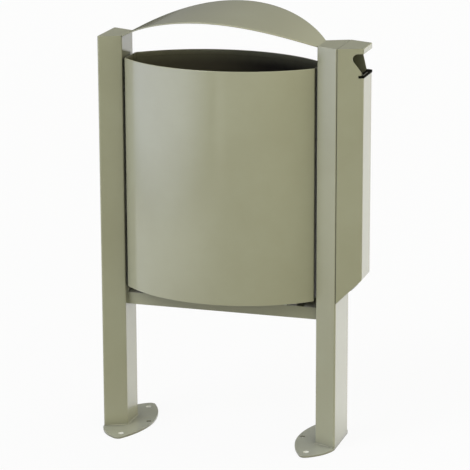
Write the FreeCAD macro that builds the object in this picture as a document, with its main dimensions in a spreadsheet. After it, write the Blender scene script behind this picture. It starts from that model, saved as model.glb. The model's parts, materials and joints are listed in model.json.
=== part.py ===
import FreeCAD, Part
import Sketcher
import math
import os
import re

# Litter bin with an ashtray: a tank tilts forward between two posts, under an arched canopy,
# and an ashtray hangs on the right post's outer face. Millimetres, X to the right, Y to the
# back, Z up, with the origin on the ground midway between the posts.

DRIVING_SIZES = [
    ("overrun", 5, "how far a cut runs past what it cuts"),
    ("post_height", 904, "ground to the top of the post caps"),
    ("post_outer", 272, "middle of the bin to a post's outer face"),
    ("post_depth", 50, "a post's outer face to its inner face"),
    ("post_outer_half", 58.5, "half the width of the outer face"),
    ("post_inner_half", 35.7, "half the width of the inner face"),
    ("post_wall", 2, "sheet of the posts"),
    ("post_corner", 3, "rounding of the posts' upright edges"),
    ("cap_thick", 3, "plate on top of a post"),
    ("foot_thick", 4, "foot plate"),
    ("foot_tip_in", 58, "foot plate's tips in from its outer edge"),
    ("foot_reach", 127, "foot plate's tips, forward and back"),
    ("foot_width", 99.5, "foot plate's outer edge to its inner edge"),
    ("foot_shoulder", 96, "radius of the foot plate's curved outer edges"),
    ("foot_round", 12, "rounding of the foot plate's tips"),
    ("anchor_in", 55, "corner anchor holes in from the foot plate's outer edge"),
    ("anchor_y", 96, "corner anchor holes, forward and back"),
    ("anchor_inner_in", 89, "inner anchor holes in from the foot plate's outer edge"),
    ("anchor_hole", 12, "diameter of the anchor holes"),
    ("canopy_rise", 59, "canopy's crown above the post tops"),
    ("canopy_half_depth", 149, "half the canopy's depth at its middle"),
    ("canopy_thick", 2.5, "sheet of the canopy"),
    ("tank_gap", 5.5, "room between a post and the tank"),
    ("tank_half_depth", 125, "half the tank's depth at its middle"),
    ("tank_end_half", 35.5, "half the width of the tank's flat ends"),
    ("tank_low", 334, "ground to the tank's lower edge"),
    ("rim_below", 49, "tank's rim below the post tops"),
    ("tank_sheet", 1.5, "sheet of the tank"),
    ("tank_corner", 4, "outer bend between the tank's front and its ends"),
    ("hem_height", 12, "rim folded over on the inside"),
    ("lap_width", 20, "back panel's flange inside the end wall"),
    ("lap_gap", 0.2, "room between the flange and the end wall"),
    ("floor_rise", 4, "floor's underside above the tank's lower edge"),
    ("floor_sheet", 2, "sheet of the tank's floor"),
    ("floor_flange", 14, "floor's turned-up edge"),
    ("floor_gap", 0.3, "room between the floor's edge and the panels"),
    ("drain_hole", 12, "diameter of the drain holes"),
    ("drain_in", 76.5, "outer drain holes in from the tank's ends"),
    ("bar_forward", 20, "crossbar's front face in front of the middle"),
    ("bar_back", 33, "crossbar's back face behind the middle"),
    ("bar_height", 27, "crossbar's height"),
    ("bar_below", 19, "crossbar's top below the tank's lower edge"),
    ("bar_wall", 2, "wall of the crossbar"),
    ("bar_lip", 10, "crossbar's back wall above its top"),
    ("hinge_in", 102, "tank hinges in from the posts"),
    ("hinge_length", 60, "length of a tank hinge"),
    ("lug_width", 12, "one fixed lug of a tank hinge"),
    ("lug_radius", 7, "rounding of the fixed lugs"),
    ("swing_lug_radius", 6, "rounding of the tank's own lug"),
    ("lug_play", 0.5, "room between neighbouring lugs"),
    ("bracket_thick", 3, "base plates of the tank hinges"),
    ("bracket_tail", 22, "base plates behind the hinge axis"),
    ("tank_pin", 8, "diameter of the tank's hinge pins"),
    ("pin_head", 11, "diameter of the hinge pins' heads"),
    ("pin_head_thick", 2, "height of the hinge pins' heads"),
    ("running_gap", 0.05, "radial room round a turning pin"),
    ("screw_shank", 6, "diameter of the screws"),
    ("screw_head", 11, "diameter of the screw heads"),
    ("screw_head_height", 3.3, "height of the screw heads"),
    ("screw_length", 12, "screw below its head"),
    ("screw_gap", 0.2, "radial room round a screw or rivet"),
    ("rivet_shank", 4, "diameter of the rivets"),
    ("rivet_head", 8, "diameter of the rivet heads"),
    ("rivet_head_height", 1.2, "height of the rivet heads"),
    ("rivet_edge", 45, "first and last rivet from the tank's edges"),
    ("buffer_in", 47, "rest buffers in from the posts"),
    ("buffer_back", 8, "rest buffers behind the middle"),
    ("buffer_width", 18, "diameter of the rest buffers"),
    ("buffer_round", 3, "rounding of the rest buffers' tops"),
    ("buffer_gap", 0.3, "room between a buffer and the floor"),
    ("lock_back", 1, "tank lock's axis behind the middle"),
    ("lock_below", 71, "tank lock's axis below the tank's rim"),
    ("lock_body", 18, "diameter of a lock barrel"),
    ("lock_flange", 25, "diameter of a lock barrel's flange"),
    ("lock_flange_thick", 2, "thickness of that flange"),
    ("lock_flange_round", 1, "rounding of that flange"),
    ("key_well", 13, "diameter of the key's well"),
    ("key_well_depth", 9, "depth of the key's well below the face"),
    ("key_head", 4.6, "centre to corner of the triangular key head"),
    ("key_head_sink", 2, "key head below the face"),
    ("spindle", 9, "diameter of a lock's spindle"),
    ("arm_thick", 2.5, "lock arm's plate"),
    ("arm_width", 10, "width of a lock arm"),
    ("arm_hub", 8, "radius of a lock arm's hub"),
    ("arm_length", 22, "lock axis to a lock arm's end"),
    ("arm_gap", 0.6, "room between a lock barrel and its arm"),
    ("keeper_width", 6, "diameter of the tank's lock keeper"),
    ("keeper_length", 4, "keeper's reach out of the tank's end"),
    ("keeper_head", 11, "diameter of the keeper's head"),
    ("keeper_head_thick", 1.5, "thickness of the keeper's head"),
    ("keeper_rise", 17, "keeper above the lock's axis"),
    ("keeper_play", 1.5, "room between the locked arm and the keeper"),
    ("seam_gap", 0.6, "post's outer face to the ashtray"),
    ("ash_depth", 52.4, "ashtray's open side to its outer face"),
    ("ash_outer_half", 36, "half the width of the ashtray's outer face"),
    ("ash_low", 338, "ground to the ashtray's lowest edge"),
    ("ash_slope", 52.4, "rise of the ashtray's sloped bottom"),
    ("ash_sheet", 1.5, "sheet of the ashtray"),
    ("ash_corner", 3, "rounding of the ashtray's upright edges"),
    ("ash_toe", 7, "bend between the outer face and the sloped bottom"),
    ("hood_thick", 3, "plate on top of the ashtray"),
    ("lip_drop", 12, "hood's front lip below its top"),
    ("lip_thick", 2, "sheet of that lip"),
    ("hood_round", 1.8, "rounding of the hood's outer edge"),
    ("mouth_radius", 11, "round end of the ashtray's side notches"),
    ("mouth_set", 11.5, "centre of that round end behind the outer face"),
    ("mouth_run", 17, "run of the front notch's slanted edge"),
    ("mouth_fall", 24.8, "fall of that edge over that run"),
    ("rear_run", 9.4, "run of the rear notch's steeper edge"),
    ("rear_fall", 34.3, "fall of that edge over that run"),
    ("stub_below", 64, "stub plate's underside below the post tops"),
    ("stub_thick", 5, "thickness of the stub plate"),
    ("stub_depth", 10.5, "stub plate behind the outer face"),
    ("stub_proud", 1, "stub plate in front of the ashtray's faces"),
    ("stub_gap", 0.2, "room round the stub plate in its slots"),
    ("back_plate_thick", 2, "sheet that carries the ash bucket"),
    ("back_plate_half", 34, "half the width of that sheet"),
    ("plate_below", 30, "top of that sheet below the post tops"),
    ("shelf_rise", 56, "bucket's shelf above the ashtray's lowest edge"),
    ("shelf_depth", 42, "depth of the shelf from the post"),
    ("catch_reach", 25, "catch tab's far edge in front of the lock's axis"),
    ("catch_near", 11, "catch tab's near edge in front of the lock's axis"),
    ("catch_play", 1, "room between the locked arm and the catch tab"),
    ("plate_screw_in", 12, "back plate's screws from its sides"),
    ("plate_screw_down", 25, "upper screws below the plate's top"),
    ("plate_screw_up", 40, "lower screws above the shelf"),
    ("bucket_wall", 1, "sheet of the ash bucket"),
    ("bucket_room", 4, "room between the bucket and the ashtray's walls"),
    ("bucket_stand_off", 6, "room between the bucket and the back plate"),
    ("bucket_clear", 11, "room between the bucket and the stub plate"),
    ("bucket_corner", 4, "rounding of the bucket's upright edges"),
    ("ash_lock_length", 10, "ashtray's lock barrel behind its face"),
    ("ash_nut_thick", 3, "nut of the ashtray's lock"),
    ("ash_nut_across", 22, "nut of that lock across its flats"),
    ("leaf_stand_off", 4.6, "ashtray's hinge axis behind the post's corner"),
    ("leaf_thick", 2, "leaves of the ashtray's hinges"),
    ("leaf_width", 20, "reach of a leaf along the wall"),
    ("leaf_start", 1.2, "leaf's free edge from the wall's corner"),
    ("leaf_height", 50, "height of an ashtray hinge"),
    ("knuckle", 7, "diameter of the ashtray's hinge knuckles"),
    ("knuckle_height", 16, "height of an end knuckle"),
    ("ash_pin", 3.5, "diameter of the ashtray's hinge pins"),
    ("ash_pin_head", 5.5, "diameter of those pins' heads"),
    ("lower_hinge_rise", 116, "foot of the ashtray's lower hinge above its lowest edge"),
    ("upper_hinge_below", 140, "foot of the ashtray's upper hinge below the post tops"),
]

WORKED_SIZES = [
    ("post_inner", "post_outer - post_depth"),
    ("post_lean", "(post_outer_half - post_inner_half) / post_depth"),
    ("post_wall_run", "post_wall * sqrt(1 + post_lean ^ 2)"),
    ("post_top", "post_height - cap_thick"),
    ("foot_tip", "post_outer - foot_tip_in"),
    ("foot_belly", "post_outer - foot_width"),
    ("anchor_x", "post_outer - anchor_in"),
    ("anchor_inner", "post_outer - anchor_inner_in"),
    ("buffer_place", "post_inner - buffer_in"),
    ("hinge_place", "post_inner - hinge_in"),
    ("drain_reach", "tank_end - drain_in"),
    ("foot_radius", "(foot_reach ^ 2 + (foot_tip - foot_belly) ^ 2) / (2 * (foot_tip - foot_belly))"),
    ("canopy_radius", "(post_inner ^ 2 + canopy_rise ^ 2) / (2 * canopy_rise)"),
    ("canopy_under_radius", "canopy_radius - canopy_thick"),
    ("canopy_centre", "post_height + canopy_rise - canopy_radius"),
    ("canopy_under", "canopy_centre + sqrt(canopy_under_radius ^ 2 - post_inner ^ 2)"),
    ("canopy_sag", "canopy_half_depth - post_inner_half"),
    ("canopy_plan_radius", "(post_inner ^ 2 + canopy_sag ^ 2) / (2 * canopy_sag)"),
    ("tank_end", "post_inner - tank_gap"),
    ("tank_top", "post_height - rim_below"),
    ("tank_height", "tank_top - tank_low"),
    ("lock_height", "tank_top - lock_below"),
    ("bar_top", "tank_low - bar_below"),
    ("tank_sag", "tank_half_depth - tank_end_half"),
    ("tank_radius", "(tank_end ^ 2 + tank_sag ^ 2) / (2 * tank_sag)"),
    ("tank_centre", "tank_radius - tank_half_depth"),
    ("end_inside", "tank_end - tank_sheet"),
    ("lap_end", "end_inside - lap_gap"),
    ("lap_inside", "lap_end - tank_sheet"),
    ("lap_root", "sqrt(tank_radius ^ 2 - lap_end ^ 2) - tank_centre"),
    ("lap_middle", "lap_root - lap_width / 2"),
    ("rivet_pitch_total", "tank_height - 2 * rivet_edge"),
    ("floor_under", "tank_low + floor_rise"),
    ("floor_end", "lap_inside - floor_gap"),
    ("floor_inset", "tank_sheet + floor_gap"),
    ("bracket_top", "bar_top + bracket_thick"),
    ("hinge_y", "lug_radius - bar_forward"),
    ("hinge_z", "bracket_top + lug_radius"),
    ("pin_hole", "tank_pin + 2 * running_gap"),
    ("swing_plate", "floor_under - bracket_thick"),
    ("hinge_screw_y", "hinge_y + lug_radius + screw_head / 2 + lug_play"),
    ("screw_hole", "screw_shank + 2 * screw_gap"),
    ("rivet_hole", "rivet_shank + 2 * screw_gap"),
    ("keeper_hole", "keeper_width + 2 * screw_gap"),
    ("keeper_y", "keeper_play + arm_width / 2 + keeper_width / 2 + lock_back"),
    ("keeper_z", "lock_height + keeper_rise"),
    ("ash_near", "post_outer + seam_gap"),
    ("ash_far", "ash_near + ash_depth"),
    ("ash_lean", "(post_outer_half - ash_outer_half) / ash_depth"),
    ("ash_wall_run", "ash_sheet * sqrt(1 + ash_lean ^ 2)"),
    ("hood_under", "post_height - hood_thick"),
    ("stub_low", "post_height - stub_below"),
    ("back_plate_top", "post_height - plate_below"),
    ("upper_hinge", "post_height - upper_hinge_below"),
    ("lower_hinge", "ash_low + lower_hinge_rise"),
    ("shelf_top", "ash_low + shelf_rise"),
    ("bucket_height", "stub_low - bucket_clear - shelf_top"),
    ("lip_low", "post_height - lip_drop"),
    ("mouth_edge", "sqrt(mouth_run ^ 2 + mouth_fall ^ 2)"),
    ("mouth_x", "ash_far - mouth_set"),
    ("mouth_z", "lip_low - mouth_radius"),
    ("notch_x", "mouth_x - mouth_radius * mouth_fall / mouth_edge"),
    ("notch_z", "mouth_z - mouth_radius * mouth_run / mouth_edge"),
    ("mouth_past", "ash_far + overrun"),
    ("mouth_past_z", "notch_z - (mouth_past - notch_x) * mouth_fall / mouth_run"),
    ("rear_edge", "sqrt(rear_run ^ 2 + rear_fall ^ 2)"),
    ("rear_x", "mouth_x - mouth_radius * rear_fall / rear_edge"),
    ("rear_z", "mouth_z - mouth_radius * rear_run / rear_edge"),
    ("sill", "stub_low + stub_thick"),
    ("rear_sill_x", "rear_x + (rear_z - sill) * rear_run / rear_fall"),
    ("slope_length", "sqrt(ash_depth ^ 2 + ash_slope ^ 2)"),
    ("slope_sine", "ash_slope / slope_length"),
    ("slope_cosine", "ash_depth / slope_length"),
    ("toe_run", "ash_toe * (1 - slope_sine) / slope_cosine"),
    ("ash_lock_x", "ash_near + ash_depth / 2"),
    ("ash_lock_z", "ash_low + ash_slope / 2"),
    ("ash_arm_in", "ash_lock_length + arm_gap + arm_thick / 2"),
    ("ash_arm_x", "ash_lock_x - slope_sine * ash_arm_in"),
    ("catch_low", "ash_lock_z + slope_cosine * ash_arm_in - catch_play"),
    ("catch_x", "ash_arm_x + arm_width / 2 * slope_cosine + arm_thick / 2 * slope_sine + catch_play"),
    ("plate_face", "post_outer + back_plate_thick"),
    ("shelf_low", "shelf_top - back_plate_thick"),
    ("plate_screw_y", "back_plate_half - plate_screw_in"),
    ("bucket_back", "plate_face + bucket_stand_off"),
    ("bucket_front", "ash_far - ash_sheet - bucket_room"),
    ("bucket_run", "(bucket_room + ash_sheet) * sqrt(1 + ash_lean ^ 2)"),
    ("leaf_axis_x", "post_outer + seam_gap / 2"),
    ("leaf_axis_y", "post_outer_half + leaf_stand_off"),
    ("ash_pin_hole", "ash_pin + 2 * running_gap"),
]

RIVET_COUNT = 5
DRAIN_COUNT = 5
KEY_SIDES = 3
NUT_SIDES = 6
SHEET_COLUMNS = ("A", "B", "C")
SIDES = {"left": "-", "right": ""}
PLANE_NORMAL_SIGN = {"XY_Plane": "", "XZ_Plane": "-", "YZ_Plane": ""}
SLOPE_TURN = "180 deg - atan(ash_slope / ash_depth)"
NEAR = 1e-4

document = FreeCAD.newDocument("litter_bin")
parts = []


def fill_sheet(name, rows):
    """Write one row per size: its alias, its value or formula, and what it is."""
    sheet = document.addObject("Spreadsheet::Sheet", name)
    for number, row in enumerate(rows, start=1):
        for column, text in zip(SHEET_COLUMNS, row):
            sheet.set(f"{column}{number}", str(text))
        sheet.setAlias(f"B{number}", row[0])
    return sheet


def spelled(formula):
    """The formula with every size written as the sheet cell that holds it."""
    return re.sub(r"[a-z][a-z_]*", lambda word: SIZE_PATHS.get(word.group(), word.group()), formula)


SIZE_PATHS = {row[0]: f"sizes.{row[0]}" for row in DRIVING_SIZES}
SIZE_PATHS.update({row[0]: f"worked.{row[0]}" for row in WORKED_SIZES})
sizes = fill_sheet("sizes", DRIVING_SIZES)
worked = fill_sheet("worked", [(name, "=" + spelled(formula)) for name, formula in WORKED_SIZES])
document.recompute()


def value(formula):
    """A formula's present value as a number."""
    return float(sizes.evalExpression(spelled(formula)))


def bind(item, name, formula):
    """Tie a property of a document object to a formula."""
    item.setExpression(name, spelled(formula))


def new_body(name):
    """Start a sub-part, whose label names its file."""
    body = document.addObject("PartDesign::Body", name)
    body.Label = name
    body.AllowCompound = True
    parts.append(body)
    return body


def new_sketch(body, plane, level="0"):
    """Sketch on a plane of the body's origin, moved to a level along X, Y or Z."""
    sketch = body.newObject("Sketcher::SketchObject", f"{body.Name}_sketch")
    sketch.AttachmentSupport = ([item for item in body.Origin.OriginFeatures if item.Role == plane][0], [""])
    sketch.MapMode = "FlatFace"
    bind(sketch, "AttachmentOffset.Base.z", f"{PLANE_NORMAL_SIGN[plane]}({level})")
    return sketch


def constrain(sketch, kind, geometry, point, formula):
    """Add a dimension to a sketch and tie it to a formula."""
    place = (geometry, point) if point else (geometry,)
    number = sketch.addConstraint(Sketcher.Constraint(kind, *place, value(formula)))
    bind(sketch, f"Constraints[{number}]", formula)


def fix_point(sketch, geometry, point, x, y):
    """Hold a point of a sketch at x and y, on the axis itself where that is zero."""
    for formula, kind, axis in ((x, "DistanceX", -2), (y, "DistanceY", -1)):
        if formula == "0":
            sketch.addConstraint(Sketcher.Constraint("PointOnObject", geometry, point, axis))
        else:
            constrain(sketch, kind, geometry, point, formula)


def arc_between(start, end, turn, radius):
    """The shorter arc from start to end, with its centre on the left or the right of the way."""
    chord = end - start
    side = FreeCAD.Vector(-chord.y, chord.x, 0).normalize()
    if turn == "right":
        side = -side
    middle = (start + end) / 2
    centre = middle + side * math.sqrt(max(radius ** 2 - chord.Length ** 2 / 4, 0))
    crown = centre + (middle - centre).normalize() * radius
    return Part.Arc(start, crown, end)


def draw_outline(sketch, corners):
    """Closed outline through corners (x, y), with an arc to the next one after (x, y, turn, radius)."""
    points = [FreeCAD.Vector(value(corner[0]), value(corner[1]), 0) for corner in corners]
    ends = []
    for number, corner in enumerate(corners):
        start = points[number]
        end = points[(number + 1) % len(points)]
        if len(corner) > 2:
            geometry = sketch.addGeometry(arc_between(start, end, corner[2], value(corner[3])))
            constrain(sketch, "Radius", geometry, None, corner[3])
            ends.append((geometry, 1, 2) if corner[2] == "left" else (geometry, 2, 1))
        else:
            ends.append((sketch.addGeometry(Part.LineSegment(start, end)), 1, 2))
    for number, corner in enumerate(corners):
        geometry, first, last = ends[number]
        following, following_first, following_last = ends[(number + 1) % len(ends)]
        sketch.addConstraint(Sketcher.Constraint("Coincident", geometry, last, following, following_first))
        fix_point(sketch, geometry, first, corner[0], corner[1])


def draw_circle(sketch, x, y, diameter):
    """Circle with its centre at x and y."""
    centre = FreeCAD.Vector(value(x), value(y), 0)
    upward = FreeCAD.Vector(0, 0, 1)
    geometry = sketch.addGeometry(Part.Circle(centre, upward, value(diameter) / 2))
    constrain(sketch, "Diameter", geometry, None, diameter)
    fix_point(sketch, geometry, 3, x, y)


def draw_polygon(sketch, sides, reach):
    """Regular polygon round the sketch's origin, from its centre to its corners, one corner along x."""
    corners = []
    for number in range(sides):
        turn = f"{number} * 360 / {sides}"
        corners.append((f"{reach} * cos({turn})", f"{reach} * sin({turn})" if number else "0"))
    draw_outline(sketch, corners)


def pad(sketch, length, backward=False):
    """Extrude a sketch along its plane's normal, or against it."""
    body = sketch.getParentGeoFeatureGroup()
    feature = body.newObject("PartDesign::Pad", f"{body.Name}_pad")
    feature.Profile = sketch
    feature.Reversed = backward
    bind(feature, "Length", length)
    document.recompute()
    return feature


def pocket(sketch, depth, backward=False):
    """Cut a sketch into its body against its plane's normal, or along it, and see that it cuts."""
    body = sketch.getParentGeoFeatureGroup()
    before = body.Shape.Volume
    feature = body.newObject("PartDesign::Pocket", f"{body.Name}_cut")
    feature.Profile = sketch
    feature.Reversed = backward
    bind(feature, "Length", depth)
    document.recompute()
    if not body.Shape.Volume < before:
        raise RuntimeError(f"{feature.Name} cuts nothing")
    return feature


def revolve(sketch):
    """Turn a sketch once round its own vertical axis."""
    body = sketch.getParentGeoFeatureGroup()
    feature = body.newObject("PartDesign::Revolution", f"{body.Name}_turned")
    feature.Profile = sketch
    feature.ReferenceAxis = (sketch, ["V_Axis"])
    document.recompute()
    return feature


def round_edges(body, radius, chosen):
    """Round the chosen edges of a body."""
    base = body.Tip
    names = [f"Edge{number}" for number, edge in enumerate(base.Shape.Edges, start=1) if chosen(edge)]
    feature = body.newObject("PartDesign::Fillet", f"{body.Name}_rounding")
    feature.Base = (base, names)
    bind(feature, "Radius", radius)
    document.recompute()
    return feature


def hollow(body, wall, opened):
    """Leave walls on the inside of a body's skin, open at the chosen faces."""
    base = body.Tip
    names = [f"Face{number}" for number, face in enumerate(base.Shape.Faces, start=1) if opened(face)]
    feature = body.newObject("PartDesign::Thickness", f"{body.Name}_shell")
    feature.Base = (base, names)
    feature.Reversed = True
    feature.Join = "Intersection"
    bind(feature, "Value", wall)
    document.recompute()
    return feature


def close(first, second):
    """Whether two lengths are the same."""
    return abs(first - second) < NEAR


def is_upright(edge):
    """Whether an edge runs straight up."""
    box = edge.BoundBox
    return close(box.XLength, 0) and close(box.YLength, 0) and not close(box.ZLength, 0)


def lies_across(face, axis, place):
    """Whether a face is flat across X, Y or Z at a place."""
    box = face.BoundBox
    return close(getattr(box, axis + "Min"), place) and close(getattr(box, axis + "Max"), place)


def scaled(sign, corners):
    """The same outline, turned half a turn about the origin where sign is a minus."""
    return [(f"{sign}({corner[0]})", f"{sign}({corner[1]})") + tuple(corner[2:]) for corner in corners]


def rectangle(x_low, x_high, y_low, y_high):
    """Corners of a rectangle."""
    return [(x_low, y_low), (x_high, y_low), (x_high, y_high), (x_low, y_high)]


def post_section(inset, inset_run):
    """A post's plan: wide outer face, narrow inner face, set in from the skin."""
    outer = f"post_outer - {inset}"
    inner = f"post_inner + {inset}"
    outer_half = f"post_outer_half - post_lean * {inset} - {inset_run}"
    inner_half = f"post_inner_half + post_lean * {inset} - {inset_run}"
    return [(outer, f"-({outer_half})"), (outer, outer_half), (inner, inner_half), (inner, f"-({inner_half})")]


def ashtray_half(x, run):
    """Half the ashtray's width at x, less a run."""
    return f"(post_outer_half - ash_lean * ({x} - ash_near) - ({run}))"


def ashtray_section(near, far, run):
    """The ashtray's plan between two places, which narrows away from the post."""
    near_half = ashtray_half(near, run)
    far_half = ashtray_half(far, run)
    return [(near, f"-{near_half}"), (far, f"-{far_half}"), (far, far_half), (near, near_half)]


def lens(inset, end):
    """The tank's plan set in from its skin: two arcs with flat ends."""
    radius = f"(tank_radius - {inset})"
    half = f"(sqrt({radius} ^ 2 - ({end}) ^ 2) - tank_centre)"
    return [(f"-{end}", f"-{half}", "left", radius), (end, f"-{half}"),
            (end, half, "left", radius), (f"-{end}", half)]


def make_post(side):
    """Hollow post of folded sheet; the left one has the lock's holes, the right one the ashtray's."""
    sign = SIDES[side]
    body = new_body(f"{side}_post")
    sketch = new_sketch(body, "XY_Plane", "foot_thick")
    draw_outline(sketch, scaled(sign, post_section("0", "0")))
    pad(sketch, "post_top - foot_thick")
    round_edges(body, "post_corner", is_upright)
    bore = new_sketch(body, "XY_Plane", "post_top")
    draw_outline(bore, scaled(sign, post_section("post_wall", "post_wall_run")))
    pocket(bore, "post_top - foot_thick")
    if side == "left":
        holes = new_sketch(body, "YZ_Plane", "overrun - post_inner")
        draw_circle(holes, "lock_back", "lock_height", "lock_body + 2 * screw_gap")
        pocket(holes, "post_depth + 2 * overrun")
    else:
        holes = new_sketch(body, "YZ_Plane", "post_outer + overrun")
        for y, z in back_plate_screw_places():
            draw_circle(holes, y, z, "screw_hole")
        pocket(holes, "post_wall + 2 * overrun")


def make_post_cap(side):
    """Flat plate that closes a post's top."""
    body = new_body(f"{side}_post_cap")
    sketch = new_sketch(body, "XY_Plane", "post_top")
    draw_outline(sketch, scaled(SIDES[side], post_section("0", "0")))
    pad(sketch, "cap_thick")
    round_edges(body, "post_corner", is_upright)


def make_foot_plate(side):
    """Leaf-shaped plate under a post, flush with its outer face, with three anchor holes."""
    sign = SIDES[side]
    body = new_body(f"{side}_foot_plate")
    sketch = new_sketch(body, "XY_Plane")
    draw_outline(sketch, scaled(sign, [
        ("post_outer", "-post_outer_half"),
        ("post_outer", "post_outer_half", "left", "foot_shoulder"),
        ("foot_tip", "foot_reach", "left", "foot_radius"),
        ("foot_tip", "-foot_reach", "left", "foot_shoulder")]))
    draw_circle(sketch, f"{sign}anchor_x", "anchor_y", "anchor_hole")
    draw_circle(sketch, f"{sign}anchor_x", "-anchor_y", "anchor_hole")
    draw_circle(sketch, f"{sign}anchor_inner", "0", "anchor_hole")
    pad(sketch, "foot_thick")
    reach = value("foot_reach")
    round_edges(body, "foot_round", lambda edge: is_upright(edge) and close(abs(edge.BoundBox.YMin), reach))


def make_canopy():
    """Arched sheet between the posts, trimmed to a lens in plan and welded to the caps' inner edges."""
    body = new_body("canopy")
    arch = new_sketch(body, "XZ_Plane", "canopy_half_depth")
    draw_outline(arch, [
        ("-post_inner", "post_height", "right", "canopy_radius"),
        ("post_inner", "post_height"),
        ("post_inner", "canopy_under", "left", "canopy_under_radius"),
        ("-post_inner", "canopy_under")])
    pad(arch, "2 * canopy_half_depth")
    trim = new_sketch(body, "XY_Plane", "post_height + canopy_rise + overrun")
    past_x = "(post_inner + overrun)"
    past_y = "(canopy_half_depth + overrun)"
    draw_outline(trim, rectangle(f"-{past_x}", past_x, f"-{past_y}", past_y))
    draw_outline(trim, [
        ("-post_inner", "-post_inner_half", "left", "canopy_plan_radius"),
        ("post_inner", "-post_inner_half"),
        ("post_inner", "post_inner_half", "left", "canopy_plan_radius"),
        ("-post_inner", "post_inner_half")])
    pocket(trim, "canopy_rise + canopy_thick + 3 * overrun")


def hinge_screw_places():
    """Where the tank hinges are screwed or riveted down, two to a hinge."""
    offset = "(hinge_length / 2 - lug_width)"
    return [(f"{sign}hinge_place {step} {offset}", "hinge_screw_y") for sign in SIDES.values() for step in "-+"]


def make_crossbar():
    """Rectangular tube between the posts' inner faces, its back wall raised to a lip, with holes for the screws."""
    body = new_body("crossbar")
    section = new_sketch(body, "YZ_Plane", "-post_inner")
    low = "bar_top - bar_height"
    draw_outline(section, rectangle("-bar_forward", "bar_back", low, "bar_top"))
    draw_outline(section, rectangle("bar_wall - bar_forward", "bar_back - bar_wall",
                                    f"{low} + bar_wall", "bar_top - bar_wall"))
    pad(section, "2 * post_inner")
    lip = new_sketch(body, "YZ_Plane", "-post_inner")
    draw_outline(lip, rectangle("bar_back - bar_wall", "bar_back", "bar_top - bar_wall", "bar_top + bar_lip"))
    pad(lip, "2 * post_inner")
    holes = new_sketch(body, "XY_Plane", "bar_top + overrun")
    for x, y in hinge_screw_places():
        draw_circle(holes, x, y, "screw_hole")
    pocket(holes, "bar_wall + 2 * overrun")


def lug_outline(root, radius, turn):
    """A hinge lug seen along X, from its root to its round end about the hinge axis."""
    tip = f"hinge_z + {radius}" if turn == "left" else f"hinge_z - {radius}"
    near = f"hinge_y + {radius}"
    far = f"hinge_y - {radius}"
    return [(far, root), (near, root), (near, "hinge_z", turn, radius), ("hinge_y", tip, turn, radius),
            (far, "hinge_z")]


def make_bar_hinge_brackets():
    """Two brackets on the crossbar, each a base plate with a lug at either end."""
    body = new_body("bar_hinge_brackets")
    for sign in SIDES.values():
        start = f"{sign}hinge_place - hinge_length / 2"
        base = new_sketch(body, "YZ_Plane", start)
        draw_outline(base, rectangle("-bar_forward", "hinge_y + bracket_tail", "bar_top", "bracket_top"))
        pad(base, "hinge_length")
        for level in (start, f"{sign}hinge_place + hinge_length / 2 - lug_width"):
            lug = new_sketch(body, "YZ_Plane", level)
            draw_outline(lug, lug_outline("bracket_top", "lug_radius", "left"))
            pad(lug, "lug_width")
        bore = new_sketch(body, "YZ_Plane", f"{sign}hinge_place + hinge_length / 2 + overrun")
        draw_circle(bore, "hinge_y", "hinge_z", "pin_hole")
        pocket(bore, "hinge_length + 2 * overrun")
    holes = new_sketch(body, "XY_Plane", "bracket_top")
    for x, y in hinge_screw_places():
        draw_circle(holes, x, y, "screw_hole")
    pocket(holes, "bracket_thick")


def make_tank_hinge_lugs():
    """The tank's half of the hinges: a plate under the floor with one lug between the fixed ones."""
    body = new_body("tank_hinge_lugs")
    lug_half = "(hinge_length / 2 - lug_width - lug_play)"
    for sign in SIDES.values():
        plate = new_sketch(body, "YZ_Plane", f"{sign}hinge_place - hinge_length / 2")
        draw_outline(plate, rectangle("-bar_forward", "hinge_y + bracket_tail", "swing_plate", "floor_under"))
        pad(plate, "hinge_length")
        lug = new_sketch(body, "YZ_Plane", f"{sign}hinge_place - {lug_half}")
        draw_outline(lug, lug_outline("swing_plate", "swing_lug_radius", "right"))
        pad(lug, f"2 * {lug_half}")
        bore = new_sketch(body, "YZ_Plane", f"{sign}hinge_place + hinge_length / 2")
        draw_circle(bore, "hinge_y", "hinge_z", "pin_hole")
        pocket(bore, "hinge_length")
    holes = new_sketch(body, "XY_Plane", "floor_under")
    for x, y in hinge_screw_places():
        draw_circle(holes, x, y, "rivet_hole")
    pocket(holes, "bracket_thick")


def make_tank_hinge_pins():
    """A headed pin through the lugs of each tank hinge."""
    body = new_body("tank_hinge_pins")
    for sign in SIDES.values():
        pin = new_sketch(body, "YZ_Plane", f"{sign}hinge_place - hinge_length / 2 - pin_head_thick")
        draw_circle(pin, "hinge_y", "hinge_z", "tank_pin")
        pad(pin, "hinge_length + 2 * pin_head_thick")
        head = new_sketch(body, "YZ_Plane", f"{sign}hinge_place + hinge_length / 2")
        draw_circle(head, "hinge_y", "hinge_z", "pin_head")
        pad(head, "pin_head_thick")


def make_bar_hinge_screws():
    """Screws that hold the brackets on the crossbar."""
    body = new_body("bar_hinge_screws")
    shanks = new_sketch(body, "XY_Plane", "bracket_top")
    heads = new_sketch(body, "XY_Plane", "bracket_top")
    for x, y in hinge_screw_places():
        draw_circle(shanks, x, y, "screw_shank")
        draw_circle(heads, x, y, "screw_head")
    pad(shanks, "screw_length", backward=True)
    pad(heads, "screw_head_height")


def make_rest_buffers():
    """Rubber buffers on the crossbar that the tank's floor rests on."""
    body = new_body("rest_buffers")
    sketch = new_sketch(body, "XY_Plane", "bar_top")
    for sign in SIDES.values():
        draw_circle(sketch, f"{sign}buffer_place", "buffer_back", "buffer_width")
    pad(sketch, "floor_under - buffer_gap - bar_top")
    top = value("floor_under - buffer_gap")
    round_edges(body, "buffer_round", lambda edge: close(edge.BoundBox.ZMin, top))


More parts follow.
